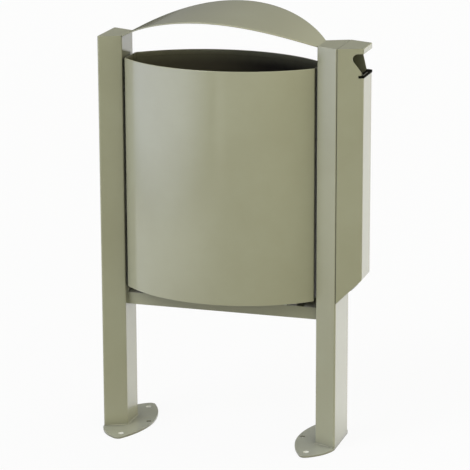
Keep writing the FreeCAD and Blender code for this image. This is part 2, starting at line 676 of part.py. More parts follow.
def front_section(inset):
    """Front panel's plan between two insets one sheet apart: the front arc and the two end walls."""
    outer = f"(tank_end - {inset})"
    inner = f"(tank_end - {inset} - tank_sheet)"
    outer_radius = f"(tank_radius - {inset})"
    inner_radius = f"(tank_radius - {inset} - tank_sheet)"
    outer_y = f"(tank_centre - sqrt({outer_radius} ^ 2 - {outer} ^ 2))"
    inner_y = f"(tank_centre - sqrt({inner_radius} ^ 2 - {inner} ^ 2))"
    return [(outer, "tank_end_half"), (f"{inner}", "tank_end_half"), (inner, inner_y, "right", inner_radius),
            (f"-{inner}", inner_y), (f"-{inner}", "tank_end_half"), (f"-{outer}", "tank_end_half"),
            (f"-{outer}", outer_y, "left", outer_radius), (outer, outer_y)]


def rivet_places():
    """Rows of rivets through an end wall and the back panel's flange, as y and z."""
    return [("lap_middle", f"tank_low + rivet_edge + {row} * rivet_pitch_total / {RIVET_COUNT - 1}")
            for row in range(RIVET_COUNT)]


def pierce_ends(body, places, diameter):
    """Cut round holes through both of the tank's ends."""
    holes = new_sketch(body, "YZ_Plane", "tank_end + overrun")
    for y, z in places:
        draw_circle(holes, y, z, diameter)
    pocket(holes, "2 * tank_end + 2 * overrun")


def make_tank_front_panel():
    """Curved front with its end walls folded back, and its rim hemmed on the inside."""
    body = new_body("tank_front_panel")
    sheet = new_sketch(body, "XY_Plane", "tank_low")
    draw_outline(sheet, front_section("0"))
    pad(sheet, "tank_height")
    hem = new_sketch(body, "XY_Plane", "tank_top - hem_height")
    half = "(sqrt((tank_radius - 2 * tank_sheet) ^ 2 - lap_inside ^ 2) - tank_centre)"
    root = "(sqrt((tank_radius - tank_sheet) ^ 2 - lap_inside ^ 2) - tank_centre)"
    draw_outline(hem, [
        ("-lap_inside", f"-{root}", "left", "tank_radius - tank_sheet"), ("lap_inside", f"-{root}"),
        ("lap_inside", f"-{half}", "right", "tank_radius - 2 * tank_sheet"), ("-lap_inside", f"-{half}")])
    pad(hem, "hem_height")
    end = value("tank_end")
    front = value("-tank_end_half")
    round_edges(body, "tank_corner", lambda edge: is_upright(edge) and close(abs(edge.BoundBox.XMin), end)
                and close(edge.BoundBox.YMin, front))
    pierce_ends(body, rivet_places(), "rivet_hole")
    keeper = new_sketch(body, "YZ_Plane", "-end_inside + overrun")
    draw_circle(keeper, "keeper_y", "keeper_z", "keeper_hole")
    pocket(keeper, "tank_sheet + 2 * overrun")


def make_tank_back_panel():
    """Curved back whose flanges lap inside the end walls, with the same hemmed rim."""
    body = new_body("tank_back_panel")
    sheet = new_sketch(body, "XY_Plane", "tank_low")
    inner_radius = "(tank_radius - tank_sheet)"
    inner_y = f"(sqrt({inner_radius} ^ 2 - lap_inside ^ 2) - tank_centre)"
    draw_outline(sheet, [
        ("lap_end", "lap_root", "left", "tank_radius"), ("-lap_end", "lap_root"),
        ("-lap_end", "lap_root - lap_width"), ("-lap_inside", "lap_root - lap_width"),
        ("-lap_inside", inner_y, "right", inner_radius), ("lap_inside", inner_y),
        ("lap_inside", "lap_root - lap_width"), ("lap_end", "lap_root - lap_width")])
    pad(sheet, "tank_height")
    hem = new_sketch(body, "XY_Plane", "tank_top - hem_height")
    hem_end = "(lap_inside - tank_sheet)"
    root = f"(sqrt({inner_radius} ^ 2 - {hem_end} ^ 2) - tank_centre)"
    half = f"(sqrt((tank_radius - 2 * tank_sheet) ^ 2 - {hem_end} ^ 2) - tank_centre)"
    draw_outline(hem, [
        (hem_end, root, "left", inner_radius), (f"-{hem_end}", root),
        (f"-{hem_end}", half, "right", "tank_radius - 2 * tank_sheet"), (hem_end, half)])
    pad(hem, "hem_height")
    pierce_ends(body, rivet_places(), "rivet_hole")


def make_tank_rivets():
    """Rivets through the end walls and the back panel's flanges."""
    body = new_body("tank_rivets")
    for sign, backward in (("", False), ("-", True)):
        shanks = new_sketch(body, "YZ_Plane", f"{sign}lap_inside")
        heads = new_sketch(body, "YZ_Plane", f"{sign}tank_end")
        tails = new_sketch(body, "YZ_Plane", f"{sign}lap_inside")
        for y, z in rivet_places():
            draw_circle(shanks, y, z, "rivet_shank")
            draw_circle(heads, y, z, "rivet_head")
            draw_circle(tails, y, z, "rivet_head")
        pad(shanks, "tank_end - lap_inside", backward)
        pad(heads, "rivet_head_height", backward)
        pad(tails, "rivet_head_height", not backward)


def make_tank_floor():
    """Tray with a turned-up edge inside the panels, with drain holes and holes for the hinge rivets."""
    body = new_body("tank_floor")
    plate = new_sketch(body, "XY_Plane", "floor_under")
    draw_outline(plate, lens("floor_inset", "floor_end"))
    pad(plate, "floor_flange")
    well = new_sketch(body, "XY_Plane", "floor_under + floor_flange")
    draw_outline(well, lens("(floor_inset + floor_sheet)", "(floor_end - floor_sheet)"))
    pocket(well, "floor_flange - floor_sheet")
    drain = new_sketch(body, "XY_Plane", "floor_under + floor_flange")
    draw_circle(drain, "-drain_reach", "tank_half_depth / 2", "drain_hole")
    first = pocket(drain, "floor_flange")
    row = body.newObject("PartDesign::LinearPattern", "drain_row")
    row.Originals = [first]
    row.Direction = (drain, ["H_Axis"])
    row.Occurrences = DRAIN_COUNT
    bind(row, "Length", "2 * drain_reach")
    body.Tip = row
    document.recompute()
    holes = new_sketch(body, "XY_Plane", "floor_under + floor_flange")
    for x, y in hinge_screw_places():
        draw_circle(holes, x, y, "rivet_hole")
    pocket(holes, "floor_flange")


def make_floor_rivets():
    """Rivets that hold the hinge lugs under the tank's floor."""
    body = new_body("floor_rivets")
    shanks = new_sketch(body, "XY_Plane", "swing_plate")
    heads = new_sketch(body, "XY_Plane", "floor_under + floor_sheet")
    tails = new_sketch(body, "XY_Plane", "swing_plate")
    for x, y in hinge_screw_places():
        draw_circle(shanks, x, y, "rivet_shank")
        draw_circle(heads, x, y, "rivet_head")
        draw_circle(tails, x, y, "rivet_head")
    pad(shanks, "bracket_thick + floor_sheet")
    pad(heads, "rivet_head_height")
    pad(tails, "rivet_head_height", backward=True)


def make_lock_keeper():
    """Stud on the tank's left end, which the turned lock arm stands in front of."""
    body = new_body("lock_keeper")
    stud = new_sketch(body, "YZ_Plane", "-end_inside")
    draw_circle(stud, "keeper_y", "keeper_z", "keeper_width")
    pad(stud, "tank_sheet + keeper_length", backward=True)
    head = new_sketch(body, "YZ_Plane", "-end_inside")
    draw_circle(head, "keeper_y", "keeper_z", "keeper_head")
    pad(head, "keeper_head_thick")


def make_lock_barrel(name, length):
    """Lock barrel about its own axis: its flange lies on the face at zero, its body runs below it."""
    body = new_body(name)
    profile = new_sketch(body, "XZ_Plane")
    draw_outline(profile, [
        ("spindle / 2 + running_gap", f"-{length}"), ("lock_body / 2", f"-{length}"), ("lock_body / 2", "0"),
        ("lock_flange / 2", "0"), ("lock_flange / 2", "lock_flange_thick"), ("key_well / 2", "lock_flange_thick"),
        ("key_well / 2", "-key_well_depth"), ("spindle / 2 + running_gap", "-key_well_depth")])
    revolve(profile)
    flange = value("lock_flange / 2")
    top = value("lock_flange_thick")
    round_edges(body, "lock_flange_round", lambda edge: close(edge.BoundBox.ZMin, top)
                and close(edge.BoundBox.XMax, flange))
    return body


def make_lock_cam(name, length):
    """Spindle with a triangular key head and an arm at its inner end, about the lock's own axis."""
    body = new_body(name)
    arm_low = f"-({length} + arm_gap + arm_thick)"
    arm = new_sketch(body, "XY_Plane", arm_low)
    half = "arm_width / 2"
    root = f"sqrt(arm_hub ^ 2 - ({half}) ^ 2)"
    neck = f"(arm_length - {half})"
    draw_outline(arm, [
        (root, f"-{half}"), (neck, f"-{half}", "left", half), ("arm_length", "0", "left", half),
        (neck, half), (root, half, "left", "arm_hub"), ("-arm_hub", "0", "left", "arm_hub")])
    pad(arm, "arm_thick")
    shaft = new_sketch(body, "XY_Plane", arm_low)
    draw_circle(shaft, "0", "0", "spindle")
    pad(shaft, f"{length} + arm_gap + arm_thick - key_well_depth")
    head = new_sketch(body, "XY_Plane", "-key_well_depth")
    draw_polygon(head, KEY_SIDES, "key_head")
    pad(head, "key_well_depth - key_head_sink")
    return body


def place_tank_lock(body):
    """Set a lock part in the left post: its axis along X, its rest arm towards the front."""
    axes = (FreeCAD.Vector(0, -1, 0), FreeCAD.Vector(0, 0, 1), FreeCAD.Vector(-1, 0, 0))
    body.Placement = FreeCAD.Placement(FreeCAD.Vector(), FreeCAD.Rotation(*axes, "ZXY"))
    bind(body, "Placement.Base.x", "-post_outer")
    bind(body, "Placement.Base.y", "lock_back")
    bind(body, "Placement.Base.z", "lock_height")


def place_ashtray_lock(body):
    """Set a lock part in the ashtray's sloped bottom, square to it, its rest arm down the slope."""
    body.Placement = FreeCAD.Placement(FreeCAD.Vector(), FreeCAD.Rotation(FreeCAD.Vector(0, 1, 0), 1))
    bind(body, "Placement.Rotation.Angle", SLOPE_TURN)
    bind(body, "Placement.Base.x", "ash_lock_x")
    bind(body, "Placement.Base.z", "ash_lock_z")


def make_ashtray_lock_nut():
    """Hexagon nut that holds the ashtray's lock barrel behind the sheet."""
    body = new_body("ashtray_lock_nut")
    sketch = new_sketch(body, "XY_Plane", "-ash_sheet - ash_nut_thick")
    draw_polygon(sketch, NUT_SIDES, "ash_nut_across / sqrt(3)")
    draw_circle(sketch, "0", "0", "lock_body + 2 * screw_gap")
    pad(sketch, "ash_nut_thick")
    return body


def make_ashtray_housing():
    """Shell with two side walls, an outer face and a sloped bottom, notched at its mouth."""
    body = new_body("ashtray_housing")
    block = new_sketch(body, "XY_Plane", "ash_low")
    draw_outline(block, ashtray_section("ash_near", "ash_far", "0"))
    pad(block, "hood_under - ash_low")
    slope = new_sketch(body, "XZ_Plane", "-post_outer_half - overrun")
    slip = "overrun * ash_slope / ash_depth"
    toe_high = "ash_low + ash_slope + toe_run"
    draw_outline(slope, [
        ("ash_near - overrun", f"ash_low - {slip}"), ("ash_far + overrun", f"ash_low - {slip}"),
        ("ash_far + overrun", toe_high), ("ash_far", toe_high, "right", "ash_toe"),
        ("ash_far - toe_run * slope_cosine", "ash_low + ash_slope - toe_run * slope_sine")])
    pocket(slope, "2 * post_outer_half + 2 * overrun")
    far = value("ash_far")
    round_edges(body, "ash_corner", lambda edge: is_upright(edge) and close(edge.BoundBox.XMin, far))
    near = value("ash_near")
    top = value("hood_under")
    hollow(body, "ash_sheet", lambda face: lies_across(face, "X", near) or lies_across(face, "Z", top))
    behind_lip = "ash_far - lip_thick - stub_gap"
    under_hood = [
        ("mouth_past", "hood_under + overrun"), (behind_lip, "hood_under + overrun"), (behind_lip, "lip_low"),
        ("mouth_x", "lip_low", "left", "mouth_radius"), ("mouth_x - mouth_radius", "mouth_z", "left", "mouth_radius")]
    front_notch = new_sketch(body, "XZ_Plane", "-post_outer_half - overrun")
    draw_outline(front_notch, under_hood + [("notch_x", "notch_z"), ("mouth_past", "mouth_past_z")])
    pocket(front_notch, "post_outer_half + overrun")
    rear_notch = new_sketch(body, "XZ_Plane", "0")
    draw_outline(rear_notch, under_hood + [("rear_x", "rear_z"), ("rear_sill_x", "sill"), ("mouth_past", "sill")])
    pocket(rear_notch, "post_outer_half + overrun")
    slot = new_sketch(body, "XZ_Plane", "-post_outer_half - overrun")
    draw_outline(slot, rectangle("ash_far - stub_depth - stub_gap", "mouth_past",
                                 "stub_low", "stub_low + stub_thick + stub_gap"))
    pocket(slot, "2 * post_outer_half + 2 * overrun")
    bore = new_sketch(body, "XY_Plane", "ash_lock_z")
    bore.AttachmentOffset = FreeCAD.Placement(FreeCAD.Vector(), FreeCAD.Rotation(FreeCAD.Vector(0, 1, 0), 1))
    bind(bore, "AttachmentOffset.Rotation.Angle", SLOPE_TURN)
    bind(bore, "AttachmentOffset.Base.x", "ash_lock_x")
    bind(bore, "AttachmentOffset.Base.z", "ash_lock_z")
    draw_circle(bore, "0", "0", "lock_body + 2 * screw_gap")
    pocket(bore, "overrun")


def make_ashtray_hood():
    """Flat top of the ashtray with a lip turned down along its outer edge."""
    body = new_body("ashtray_hood")
    plate = new_sketch(body, "XY_Plane", "hood_under")
    draw_outline(plate, ashtray_section("ash_near", "ash_far", "0"))
    pad(plate, "hood_thick")
    lip = new_sketch(body, "XY_Plane", "lip_low")
    draw_outline(lip, ashtray_section("(ash_far - lip_thick)", "ash_far", "0"))
    pad(lip, "lip_drop - hood_thick")
    far = value("ash_far")
    top = value("post_height")
    round_edges(body, "hood_round", lambda edge: close(edge.BoundBox.XMin, far) and close(edge.BoundBox.ZMax, top)
                and close(edge.BoundBox.ZMin, top))


def make_stub_plate():
    """Dark plate across the mouth's sill, with its ends in slots of the side walls."""
    body = new_body("stub_plate")
    sketch = new_sketch(body, "XY_Plane", "stub_low")
    draw_outline(sketch, ashtray_section("(ash_far - stub_depth)", "(ash_far + stub_proud)", "-stub_proud"))
    pad(sketch, "stub_thick")
    round_edges(body, "stub_proud", is_upright)


def back_plate_screw_places():
    """The back plate's four screws, as y and z."""
    return [(f"{sign}plate_screw_y", z) for sign in SIDES.values()
            for z in ("shelf_top + plate_screw_up", "back_plate_top - plate_screw_down")]


def make_ashtray_back_plate():
    """Folded sheet on the post: an upright, a shelf for the bucket and a tab that the lock arm catches."""
    body = new_body("ashtray_back_plate")
    profile = new_sketch(body, "XZ_Plane", "back_plate_half")
    draw_outline(profile, [
        ("post_outer", "shelf_low"), ("post_outer + shelf_depth", "shelf_low"),
        ("post_outer + shelf_depth", "shelf_top"), ("plate_face", "shelf_top"),
        ("plate_face", "back_plate_top"), ("post_outer", "back_plate_top")])
    pad(profile, "2 * back_plate_half")
    tab = new_sketch(body, "XY_Plane", "catch_low")
    draw_outline(tab, rectangle("catch_x", "catch_x + back_plate_thick", "-catch_reach", "-catch_near"))
    pad(tab, "shelf_low - catch_low")
    holes = new_sketch(body, "YZ_Plane", "plate_face")
    for y, z in back_plate_screw_places():
        draw_circle(holes, y, z, "screw_hole")
    pocket(holes, "back_plate_thick")


def make_back_plate_screws():
    """Screws that hold the back plate on the post."""
    body = new_body("back_plate_screws")
    shanks = new_sketch(body, "YZ_Plane", "plate_face")
    heads = new_sketch(body, "YZ_Plane", "plate_face")
    for y, z in back_plate_screw_places():
        draw_circle(shanks, y, z, "screw_shank")
        draw_circle(heads, y, z, "screw_head")
    pad(shanks, "screw_length", backward=True)
    pad(heads, "screw_head_height")


def make_ash_bucket():
    """Open bucket on the shelf, shaped like the ashtray."""
    body = new_body("ash_bucket")
    block = new_sketch(body, "XY_Plane", "shelf_top")
    draw_outline(block, ashtray_section("bucket_back", "bucket_front", "bucket_run"))
    pad(block, "bucket_height")
    round_edges(body, "bucket_corner", is_upright)
    top = value("shelf_top + bucket_height")
    hollow(body, "bucket_wall", lambda face: lies_across(face, "Z", top))


def make_hinge_leaves(name, corner_x, sign, lean, knuckle_levels, knuckle_length):
    """Leaves of the ashtray's two hinges on one slanted back wall, with their knuckles about the pin."""
    body = new_body(name)
    scale = f"sqrt(1 + {lean} ^ 2)"

    def along(distance, height):
        """Point at a distance from the corner along the wall and a height off it."""
        x = f"{corner_x} {sign} ({distance} + ({height}) * {lean}) / {scale}"
        y = f"post_outer_half - ({distance} * {lean} - ({height})) / {scale}"
        return x, y

    for hinge in ("lower_hinge", "upper_hinge"):
        leaf = new_sketch(body, "XY_Plane", hinge)
        draw_outline(leaf, [along("leaf_start", "0"), along("leaf_width", "0"),
                            along("leaf_width", "leaf_thick"), along("leaf_start", "leaf_thick")])
        pad(leaf, "leaf_height")
        for level in knuckle_levels:
            knuckle = new_sketch(body, "XY_Plane", f"{hinge} + {level}")
            draw_circle(knuckle, "leaf_axis_x", "leaf_axis_y", "knuckle")
            pad(knuckle, knuckle_length)
            bridge = new_sketch(body, "XY_Plane", f"{hinge} + {level}")
            draw_outline(bridge, [along("leaf_start", "0"), along("leaf_start", "leaf_thick"),
                                  ("leaf_axis_x", "leaf_axis_y"),
                                  ("leaf_axis_x", "leaf_axis_y - knuckle / 4")])
            pad(bridge, knuckle_length)
        bore = new_sketch(body, "XY_Plane", f"{hinge} + leaf_height + overrun")
        draw_circle(bore, "leaf_axis_x", "leaf_axis_y", "ash_pin_hole")
        pocket(bore, "leaf_height + 2 * overrun")


def make_ashtray_hinge_pins():
    """Headed pins of the ashtray's hinges."""
    body = new_body("ashtray_hinge_pins")
    for hinge in ("lower_hinge", "upper_hinge"):
        pin = new_sketch(body, "XY_Plane", hinge)
        draw_circle(pin, "leaf_axis_x", "leaf_axis_y", "ash_pin")
        pad(pin, "leaf_height")
        head = new_sketch(body, "XY_Plane", f"{hinge} + leaf_height")
        draw_circle(head, "leaf_axis_x", "leaf_axis_y", "ash_pin_head")
        pad(head, "pin_head_thick")


def make_frame():
    """What stands on the ground: posts, feet, canopy and crossbar."""
    for side in SIDES:
        make_post(side)
        make_post_cap(side)
        make_foot_plate(side)
    make_canopy()
    make_crossbar()


def make_tank():
    """The tilting tank with its hinges, its buffers and its lock."""
    make_tank_front_panel()
    make_tank_back_panel()
    make_tank_rivets()
    make_tank_floor()
    make_tank_hinge_lugs()
    make_floor_rivets()
    make_bar_hinge_brackets()
    make_bar_hinge_screws()
    make_tank_hinge_pins()
    make_rest_buffers()
    make_lock_keeper()
    place_tank_lock(make_lock_barrel("tank_lock_barrel", "post_depth"))
    place_tank_lock(make_lock_cam("tank_lock_cam", "post_depth"))


def make_ashtray():
    """The swinging ashtray with what stays on the post behind it."""
    make_ashtray_back_plate()
    make_back_plate_screws()
    make_ash_bucket()
    make_ashtray_housing()
    make_ashtray_hood()
    make_stub_plate()
    place_ashtray_lock(make_lock_barrel("ashtray_lock_barrel", "ash_lock_length"))
    place_ashtray_lock(make_ashtray_lock_nut())
    place_ashtray_lock(make_lock_cam("ashtray_lock_cam", "ash_lock_length"))
    middle = "knuckle_height + lug_play"
    make_hinge_leaves("post_hinge_leaves", "post_outer", "-", "post_lean",
                      ("0", "leaf_height - knuckle_height"), "knuckle_height")
    make_hinge_leaves("door_hinge_leaves", "ash_near", "+", "ash_lean",
                      (middle,), f"leaf_height - 2 * ({middle})")
    make_ashtray_hinge_pins()


def check_and_write():
    """Stop at any failed object or bad shape, then write one file for each sub-part."""
    document.recompute()
    for item in document.Objects:
        if "Invalid" in item.State or "Error" in item.State:
            raise RuntimeError(f"{item.Name} failed")
    for part in parts:
        if part.Shape.isNull() or not part.Shape.isValid():
            raise RuntimeError(f"{part.Label} has no valid shape")
    os.makedirs("parts", exist_ok=True)
    for part in parts:
        part.Shape.exportStep(f"parts/{part.Label}.step")
        print(part.Label, len(part.Shape.Solids), round(part.Shape.Volume))


make_frame()
make_tank()
make_ashtray()
check_and_write()
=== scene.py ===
import json
import math
from functools import partial

import bpy
import numpy as np
from bpy.props import FloatProperty, FloatVectorProperty, PointerProperty
from mathutils import Matrix, Vector


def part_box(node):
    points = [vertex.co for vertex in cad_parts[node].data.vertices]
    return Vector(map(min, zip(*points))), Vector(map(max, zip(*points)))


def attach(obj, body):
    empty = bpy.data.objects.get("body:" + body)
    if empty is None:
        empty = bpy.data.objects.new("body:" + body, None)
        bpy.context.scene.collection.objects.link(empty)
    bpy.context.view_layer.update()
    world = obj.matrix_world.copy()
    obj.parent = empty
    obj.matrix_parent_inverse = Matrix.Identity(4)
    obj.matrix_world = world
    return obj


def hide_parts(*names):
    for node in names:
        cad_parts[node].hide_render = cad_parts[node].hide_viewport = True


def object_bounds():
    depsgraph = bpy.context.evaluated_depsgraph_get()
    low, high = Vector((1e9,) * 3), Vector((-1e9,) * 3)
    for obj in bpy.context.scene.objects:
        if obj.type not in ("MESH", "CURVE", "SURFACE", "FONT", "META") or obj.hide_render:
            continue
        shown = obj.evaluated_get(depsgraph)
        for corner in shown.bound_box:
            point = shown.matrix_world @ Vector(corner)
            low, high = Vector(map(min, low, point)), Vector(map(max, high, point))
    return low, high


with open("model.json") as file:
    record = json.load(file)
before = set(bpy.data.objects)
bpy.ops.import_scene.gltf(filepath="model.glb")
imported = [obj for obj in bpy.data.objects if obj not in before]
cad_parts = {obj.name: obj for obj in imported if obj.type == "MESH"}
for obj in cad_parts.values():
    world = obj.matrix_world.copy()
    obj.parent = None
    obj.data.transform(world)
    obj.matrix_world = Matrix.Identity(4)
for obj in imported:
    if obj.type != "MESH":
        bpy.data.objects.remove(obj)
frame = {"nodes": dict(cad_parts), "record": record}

CAD_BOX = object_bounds()

bl_info = {
    "name": "Litter Bin Finish",
    "version": (1, 0, 0),
    "blender": (4, 5, 0),
    "location": "View3D > Sidebar > Litter Bin",
    "description": "Dresses a litter bin with its paint, zinc, rubber, welds and studio",
    "category": "Object",
}

PHOTO_WIDTH = 470
SENSOR_WIDTH = 36.0
CLIP_END = 50.0
SHARP_ANGLE = math.radians(38.0)
FULL_TURN = 2.0 * math.pi
QUARTER_TURN = 0.5 * math.pi
MILLIMETRE = 0.001
UP = np.array([0.0, 0.0, 1.0])
WHITE = (1.0, 1.0, 1.0)
INSIDE = "inside"

# Points along the curves of the rolled sheets.
WALL_POINTS = 6
BEND_POINTS = 8
ARC_POINTS = 61
RIM_POINTS = 11
ARCH_POINTS = 97
ARCH_ACROSS = 25
EDGE_POINTS = 9

# Parts of a sheet's thickness.
NICK = 0.2
LAP_BEND = 1.6
HEM_STOP = 4.0

# Lengths of the welds in metres.
WELD_STEP = 0.0007
FOOT_BEND = 0.003
BAR_BEND = 0.002
CROWN_BEAD = 0.0013
CROWN_SINK = 0.0004

# Parts of a weld's leg or pitch.
RIPPLE = 0.09
WAVER = 0.05
WAVER_PITCH = 3.7
CROWN_RIPPLE = 0.1
BAR_LEG = 0.8
LET_IN = 0.3
WELD_END = 0.02

# Points along the welds and round them.
CORNER_POINTS = 9
BEAD_POINTS = 7
CROWN_POINTS = 100
CROWN_SEGMENTS = 14
FEWEST_POINTS = 8

# Counts and points of the fasteners and buffers, and the angle at which a dome's cap begins.
LAP_RIVETS = 5
HINGE_FASTENERS = 4
POLE_ANGLE = 0.08
DOME_POINTS = 6
RIVET_SEGMENTS = 18
SCREW_POINTS = 7
SCREW_SEGMENTS = 24
BUFFER_POINTS = 19
BUFFER_SEGMENTS = 32

# Where the finishes change over: parts of a noise's range, of the open view, or of a direction.
EDGE_TURN = (0.02, 0.25)
PALE_PATCHES = (0.3, 0.75)
RUBBED_PATCHES = (0.4, 0.65)
LEVEL_FACES = (0.6, 0.95)
CREASE_VIEW = (0.25, 0.75)
NOOK_VIEW = (0.3, 0.95)
ASH_PATCHES = (0.56, 0.74)
DULL_CRYSTALS = (0.25, 0.75)
BOX_FADE = (0.25, 1.0)

# Rays that the soft edges and the open view are worked out from.
LOOK_SAMPLES = 6

# Where the room's light changes over, as components of the direction that it comes from.
ROOM_BACK = (-0.4, 0.4)
ROOM_RIGHT = (0.0, 0.8)
ROOM_TOP = (0.3, 0.85)
SIDE_AIM = (0.75, 0.66)
SIDE_SPREAD = (0.5, 1.0)
KEY_SPREAD = (0.35, 0.95)
LAMP_SPREAD = (0.94, 0.99)
SWEEP_BACK = (0.2, 0.5)
SWEEP_TOP = (0.0, 0.03)

# Where the floor's brightness in the coat changes over, in metres.
FLOOR_HALF = 30.0
FLOOR_BACK = (-0.5, 0.3)
FLOOR_LEFT = (-0.3, 1.5)
FLOOR_FAR = (4.35, 4.7)
FLOOR_RIGHT = (0.2, 1.2)


def linear(red, green, blue):
    """A colour written in display values from 0 to 255, as linear light."""
    shares = np.array([red, green, blue]) / 255.0
    light = np.where(shares <= 0.04045, shares / 12.92, ((shares + 0.055) / 1.055) ** 2.4)
    return tuple(float(value) for value in light)


def a_number(name, description, default, **kind):
    """A property that holds one number."""
    return FloatProperty(name=name, description=description, default=default, **kind)


def a_vector(name, description, default, **kind):
    """A property that holds three numbers."""
    return FloatVectorProperty(name=name, description=description, default=default, size=3, **kind)


# What a property holds: metres, radians, linear light, a place in metres or a direction.
a_length = partial(a_number, unit="LENGTH")
an_angle = partial(a_number, unit="ROTATION")
a_colour = partial(a_vector, subtype="COLOR")
a_place = partial(a_vector, subtype="TRANSLATION", unit="LENGTH")
a_direction = partial(a_vector, subtype="DIRECTION")


class BinSizes(bpy.types.PropertyGroup):
    """Lengths of the pieces that the solids leave plain."""

    sheet: a_length("Tank sheet", "Thickness of the tank's sheet", 0.0015)
    hem: a_length("Hem", "Height of the rim folded to the inside", 0.012)
    tank_corner: a_length("Tank corner", "Bend radius of the tank's upright corners", 0.004)
    arch_sheet: a_length("Canopy sheet", "Thickness of the canopy", 0.0025)
    arch_end: a_length("Canopy end", "Half width of the canopy at the posts", 0.0357)
    arch_rise: a_length("Canopy rise", "Height of the crown over the ends", 0.059)
    weld: a_length("Weld leg", "Leg of the fillet welds", 0.0018)
    weld_pitch: a_length("Weld ripple", "Ripple of the welds from crest to crest", 0.0042)
    rivet: a_length("Rivet head", "Radius of a rivet's head", 0.004)
    rivet_dome: a_length("Rivet dome", "Height of a rivet's head", 0.0012)
    screw: a_length("Screw head", "Radius of a screw's button head", 0.0055)
    screw_dome: a_length("Screw dome", "Height of a screw's button head", 0.0033)
    socket: a_length("Hexagon socket", "Half of its width across flats", 0.0019)
    hinge_pitch: a_length("Hinge pitch", "Distance of a hinge's two screws", 0.036)


class BinFinish(bpy.types.PropertyGroup):
    """Colours and grain of the bin's finishes."""

    paint: a_colour("Paint", "Olive grey powder coat", linear(141, 140, 115))
    paint_pale: a_colour("Pale paint", "Where the coat is thicker or dusty", linear(147, 147, 123))
    paint_edge: a_colour("Rubbed edge", "Coat rubbed bright along edges", linear(170, 170, 151))
    # Painted shade inside the tank: a darker coat below the rim, darkest in the right half, where
    # less light falls.
    shaded_inside: a_colour("Soiled inside", "Dull, soiled coat inside the tank", linear(86, 81, 65))
    shaded_right_inside: a_colour(
        "Heavy soil", "Coat in the right half of the tank, where most litter slides down",
        linear(36, 32, 28))
    # Dirt and painted shade in seams and gaps, and fainter painted shade in corners.
    crease_dirt_and_shade: a_colour("Dirty crease", "Dirt in seams and creases", linear(40, 38, 26))
    dust: a_colour("Dust", "Pale dust on the feet's top faces", linear(152, 155, 152))
    # Painted light: the walls of the corner anchor holes are pale, as if they showed the bright
    # floor below.
    primer: a_colour(
        "Primer", "Pale primer on the walls of the corner anchor holes", linear(224, 224, 216))
    soot: a_colour("Soot", "Dark plate where cigarettes are put out", linear(15, 15, 11))
    ash: a_colour("Ash", "Grey smears on the dark plate", linear(52, 51, 45))
    zinc: a_colour("Zinc", "Galvanised steel", linear(186, 189, 192))
    zinc_dull: a_colour("Dull zinc", "Weathered spangle of galvanised steel", linear(150, 153, 158))
    rubber: a_colour("Rubber", "Moulded black rubber", linear(38, 38, 40))
    bloom: a_colour("Bloom", "Grey bloom on the rubber", linear(80, 80, 80))
    broad: a_length("Broad tone", "Size of the coat's broad pale areas", 0.22)
    cloud: a_length("Clouds", "Size of the small clouds in coat and zinc", 0.03)
    peel: a_length("Orange peel", "Ripple of the powder coat from crest to crest", 0.0022)
    edge: a_length("Edge softness", "Radius that the coat gives to sharp sheet edges", 0.0009)
    # Reach of the dirt and painted shade out of seams and gaps, and of the fainter painted shade
    # out of corners.
    crease: a_length("Crease reach", "How far dirt reaches out of a seam", 0.008)
    nook: a_length("Nook reach", "How far faint dirt reaches out of a corner", 0.03)
    # Painted shade inside the tank: the depth under the rim at which it is full, how far its upper
    # limit wanders, and the width over which it changes from lighter at the left to darker at the
    # right.
    soil_depth: a_length(
        "Soil depth", "Depth under the tank's rim from which the inside is fully soiled", 0.04)
    soil_drift: a_length("Soil drift", "How far the soil's upper limit wanders", 0.01)
    soil_side: a_length(
        "Soil side", "Where the soil is heaviest at the right and lightest at the left", 0.09)
    dust_low: a_length("Dust height", "Height up to which level faces are dusty", 0.006)
    dust_high: a_length("Dust limit", "Height from which there is no dust", 0.02)
    soot_climb: a_length("Soot climb", "Height over the dark plate that is fully sooty", 0.005)
    soot_fade: a_length("Soot fade", "Width over which the soot on the sheet fades", 0.004)
    smear: a_length("Smears", "Size of the ash smears", 0.012)
    pits: a_length("Pits", "Size of the pits in the dark plate", 0.0012)
    spangle: a_length("Spangle", "Size of the zinc's crystals on sheet", 0.012)
    fine_spangle: a_length("Fine spangle", "Size of the zinc's crystals on hardware", 0.004)
    zinc_grain: a_length("Zinc grain", "Size of the zinc's fine grain", 0.0008)
    bloom_size: a_length("Bloom patches", "Size of the patches of bloom", 0.006)
    rubber_grain: a_length("Rubber grain", "Size of the rubber's grain", 0.0006)


